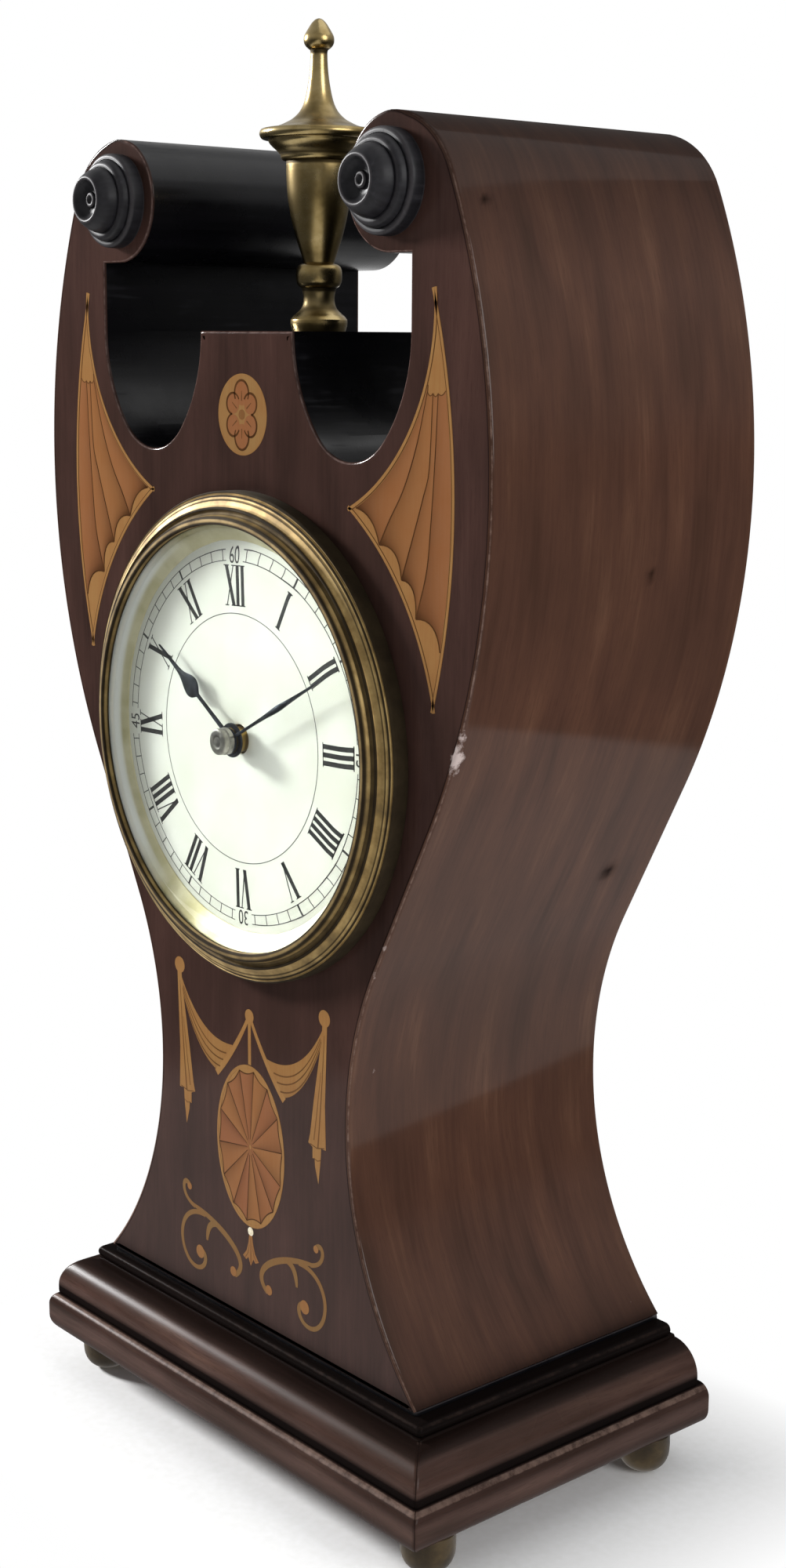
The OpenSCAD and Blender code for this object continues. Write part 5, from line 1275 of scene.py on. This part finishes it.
# Back door: a round door spun from sheet brass, with a beaded rim and a raised middle, on a butt hinge.
# A small turned knob stands opposite the hinge; lacquered, and clouded by handling.
def spun_brass(name):
    """Spun sheet brass: warm yellow, fine rings of tool marks round the axis, cloudy brown tarnish."""
    material, tree = new_material(name)
    spot = add(tree, "TexCoord").outputs["Object"]
    # Distance from the dial's axis, which runs through the middle of the door
    axis = (0, 0, on_dial(0, 0, 0)[2] * MM)
    off = add(tree, "VectorMath", {0: spot, 1: axis}, operation="SUBTRACT")
    flat = add(tree, "VectorMath", {0: off, 1: (1, 0, 1)}, operation="MULTIPLY")
    reach_out = add(tree, "VectorMath", {0: flat}, operation="LENGTH")
    # Tool marks about 0.6 mm apart
    rings = add(tree, "TexNoise", {"W": reach_out, "Scale": 1 / (0.6 * MM), "Detail": 3},
                noise_dimensions="1D")
    cloud = add(tree, "TexNoise", {"Vector": spot, "Scale": 1 / (9 * MM), "Detail": 4})
    tint = add(tree, "ValToRGB", {"Fac": cloud}, [(0.3, "#7c6431"), (0.65, "#b0954f"), (0.48, "#98803f")])
    dip = add(tree, "Attribute", attribute_name="recess").outputs["Fac"]
    darkened = add(tree, "MapRange", {"Value": dip, "From Min": 0.05, "From Max": 0.6, "To Max": 0.7})
    tarnished = add(tree, "Mix", {"Factor": darkened, "A": tint, "B": colour("#241a0c")}, data_type="RGBA")
    gleam = add(tree, "MapRange", {"Value": rings, "To Min": 0.22, "To Max": 0.42})
    bump = add(tree, "Bump", {"Strength": 0.15, "Distance": 0.04 * MM, "Height": rings})
    shader = add(tree, "BsdfPrincipled", {"Base Color": tarnished, "Metallic": 1.0, "Roughness": gleam,
                                          "Normal": bump})
    add(tree, "OutputMaterial", {"Surface": shader})
    return material


door_brass = spun_brass("brass_spun_lacquered")
HINGE_X, HINGE_P, LEAF_H, KNOB_X = 41.8, -1.3, 2.8, -36.0


def on_back(x, z, p):
    """World place of a point given from the middle of the door's inner face."""
    return on_dial(x, z, p - CASE_D)


def on_pin(x, y, z):
    """World place of a point given from the middle of the hinge's pin, which stands upright."""
    return on_back(HINGE_X + x, z, HINGE_P + y)


door_line = rounded([(0, 0, 1), (39.8, 0, 1), (40, -0.2), (40, -0.75), (39.8, -1.08), (39.3, -1.2),
                     (38.8, -1.1), (38.55, -0.85, 1), (37.6, -0.85, 1), (37.3, -1.0), (36.8, -1.05),
                     (33, -1.02), (30.6, -0.95, 1), (30.2, -0.8, 1), (29.6, -0.85), (29.0, -1.1),
                     (28.4, -1.2), (20, -1.2), (0, -1.2, 1)], 5)
door_disc = turned(door_line, on_back, steps=160, seat=0.5)
knuckle_line = rounded([(0.56, -LEAF_H, 1), (1.1, -LEAF_H, 1), (1.2, -2.68, 1), (1.2, 0), (1.2, 2.68, 1),
                        (1.1, LEAF_H, 1), (0.56, LEAF_H, 1), (0.56, -LEAF_H, 1)], 3)[:-1]
knuckle = turned(knuckle_line, on_pin, closed=True, steps=32)
leaf_points = [on_back(x, z, p) for x in (37, HINGE_X - 0.7) for z in (-LEAF_H, LEAF_H) for p in (-1.2, -0.2)]
leaf_faces = [[0, 1, 3, 2], [4, 6, 7, 5], [0, 4, 5, 1], [2, 3, 7, 6], [0, 2, 6, 4], [1, 5, 7, 3]]
leaf = leaf_points, leaf_faces, {"recess": [0.0] * len(leaf_points)}
back_door = together(door_disc, knuckle, leaf)
piece("back_door", back_door, [door_brass], "back_door", ["back_door"], sharp=40)
knob_line = rounded([(0, 0, 1), (0.8, 0, 1), (0.8, -1.2, 1), (1.25, -1.2, 1), (1.0, -1.6), (0.95, -2.0),
                     (1.15, -2.3), (1.7, -2.45), (2.0, -2.75), (1.9, -3.05), (1.4, -3.18), (0, -3.2, 1)], 5)
door_knob = turned(knob_line, lambda x, y, z: on_back(KNOB_X + x, y, z), steps=48, seat=0.3)
piece("door_knob", door_knob, [movement_brass], "back_door", ["door_knob"])
dress(movement_brass, "door_hinge")
dress(bright_steel, "hinge_pin")


# Studio: a white paper floor that runs out to white all round, in a dim room.
# A small bright window at the left gives the light, two large weak lamps lift the shadows.
FLOOR_HALF, FLOOR_Z = 4.0, -0.0002


def paper_floor(name):
    """Matt white paper: takes the soft shadow near the clock and fades to plain white further out."""
    material, tree = new_material(name)
    spot = add(tree, "TexCoord").outputs["Object"]
    fibre = add(tree, "TexNoise", {"Vector": spot, "Scale": 1 / (2 * MM), "Detail": 3})
    tint = add(tree, "ValToRGB", {"Fac": fibre}, [(0.3, "#f4f4f3"), (0.7, "#fafafa")])
    paper = add(tree, "BsdfPrincipled", {"Base Color": tint, "Roughness": 0.9, "Specular IOR Level": 0.1})
    # Distance from the plinth
    apart = add(tree, "VectorMath", {0: spot}, operation="ABSOLUTE")
    apart = add(tree, "VectorMath", {0: apart, 1: (0.066, 0.042, 0)}, operation="SUBTRACT")
    apart = add(tree, "VectorMath", {0: apart, 1: (0, 0, 0)}, operation="MAXIMUM")
    far = add(tree, "VectorMath", {0: apart}, operation="LENGTH")
    fade = add(tree, "MapRange", {"Value": far, "From Max": 0.036})
    ways = add(tree, "LightPath")
    share = add(tree, "Math", {0: ways.outputs["Is Camera Ray"], 1: fade}, operation="MULTIPLY")
    white = add(tree, "Emission", {"Color": (1, 1, 1, 1), "Strength": 1.0})
    sheet = add(tree, "MixShader", {0: share, 1: paper, 2: white})
    # Polished parts mirror the sheet only 0.27 m to each side of the clock, and a dim room beyond it
    across = add(tree, "VectorMath", {0: spot, 1: (0.65, 0.76, 0)}, operation="DOT_PRODUCT")
    across = add(tree, "Math", {0: across}, operation="ABSOLUTE")
    room = add(tree, "MapRange", {"Value": across, "From Min": 0.266, "From Max": 0.276,
                                  "To Min": 1.0, "To Max": 0.1})
    mirrored = add(tree, "Emission", {"Color": (1, 1, 1, 1), "Strength": room})
    both = add(tree, "MixShader", {0: ways.outputs["Is Glossy Ray"], 1: sheet, 2: mirrored})
    add(tree, "OutputMaterial", {"Surface": both})
    return material


floor_mesh = bpy.data.meshes.new("floor")
corners = [(-1, -1), (1, -1), (1, 1), (-1, 1)]
floor_mesh.from_pydata([(x * FLOOR_HALF, y * FLOOR_HALF, FLOOR_Z) for x, y in corners], [], [(0, 1, 2, 3)])
floor_mesh.materials.append(paper_floor("paper_white"))
floor = bpy.data.objects.new("floor", floor_mesh)
scene.collection.objects.link(floor)
floor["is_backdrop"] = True

world = bpy.data.worlds.new("studio")
scene.world = world
world.use_nodes = True
sky = world.node_tree
sky.nodes.clear()
ways = add(sky, "LightPath")
way = add(sky, "TexCoord").outputs["Generated"]
# Polished parts mirror a dim room that grows lighter overhead
height = add(sky, "SeparateXYZ", {0: way}).outputs["Z"]
room = add(sky, "ValToRGB", {"Fac": height}, [(0.0, 0.10), (1.0, 0.4), (0.12, 0.36), (0.35, 0.6), (0.7, 0.5)])
plain = add(sky, "Background", {"Color": (1.0, 1.0, 1.0, 1), "Strength": 1.0})
mirrored = add(sky, "Background", {"Color": room, "Strength": 1.0})
ambient = add(sky, "Background", {"Color": (0.96, 0.98, 1.0, 1), "Strength": 0.27})
glossy = add(sky, "MixShader", {0: ways.outputs["Is Glossy Ray"], 1: ambient, 2: mirrored})
bent = add(sky, "MixShader", {0: ways.outputs["Is Transmission Ray"], 1: glossy, 2: mirrored})
backdrop = add(sky, "MixShader", {0: ways.outputs["Is Camera Ray"], 1: bent, 2: plain})
add(sky, "OutputWorld", {"Surface": backdrop})

# Place and width in metres, power in watts
LAMPS = [("window", (-1.4, -0.58, 0.67), 0.3, 46.0), ("overhead", (0.25, 0.35, 1.15), 1.2, 3.0),
         ("right_fill", (1.1, 0.1, 0.55), 0.7, 7.2)]
CLOCK_MIDDLE = Vector((0, 0, 0.15))
for name, place, size, watts in LAMPS:
    lamp = bpy.data.lights.new(name, "AREA")
    lamp.shape, lamp.size, lamp.energy = "DISK", size, watts
    rig = bpy.data.objects.new(name, lamp)
    rig.location = place
    rig.rotation_euler = (CLOCK_MIDDLE - Vector(place)).to_track_quat("-Z", "Y").to_euler()
    scene.collection.objects.link(rig)


# Camera: it stands to the right of the clock and a little above its middle, and looks slightly down.
# Place, angles and lens were fitted to the outlines in the photograph.
YAW, PITCH, ROLL = math.radians(49.4298), math.radians(11.5473), math.radians(0.391766)
aside = Vector((math.cos(YAW), math.sin(YAW), 0))
behind = Vector((math.sin(YAW) * math.cos(PITCH), -math.cos(YAW) * math.cos(PITCH), math.sin(PITCH)))
above = behind.cross(aside)
right_way = aside * math.cos(ROLL) + above * math.sin(ROLL)
up_way = above * math.cos(ROLL) - aside * math.sin(ROLL)
lens = bpy.data.cameras.new("camera")
lens.lens, lens.sensor_width, lens.clip_start = 50.45, 36.0, 0.01
camera = bpy.data.objects.new("camera", lens)
camera.location = (0.35298, -0.29465, 0.23932)
turn = [[right_way[k], up_way[k], behind[k]] for k in range(3)]
camera.rotation_euler = Matrix(turn).to_euler()
scene.collection.objects.link(camera)
scene.camera = camera
scene.view_settings.view_transform = "Standard"

size = {"cad": [list(map(float, corner)) for corner in cad_box],
        "visual": [list(map(float, corner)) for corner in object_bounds()]}
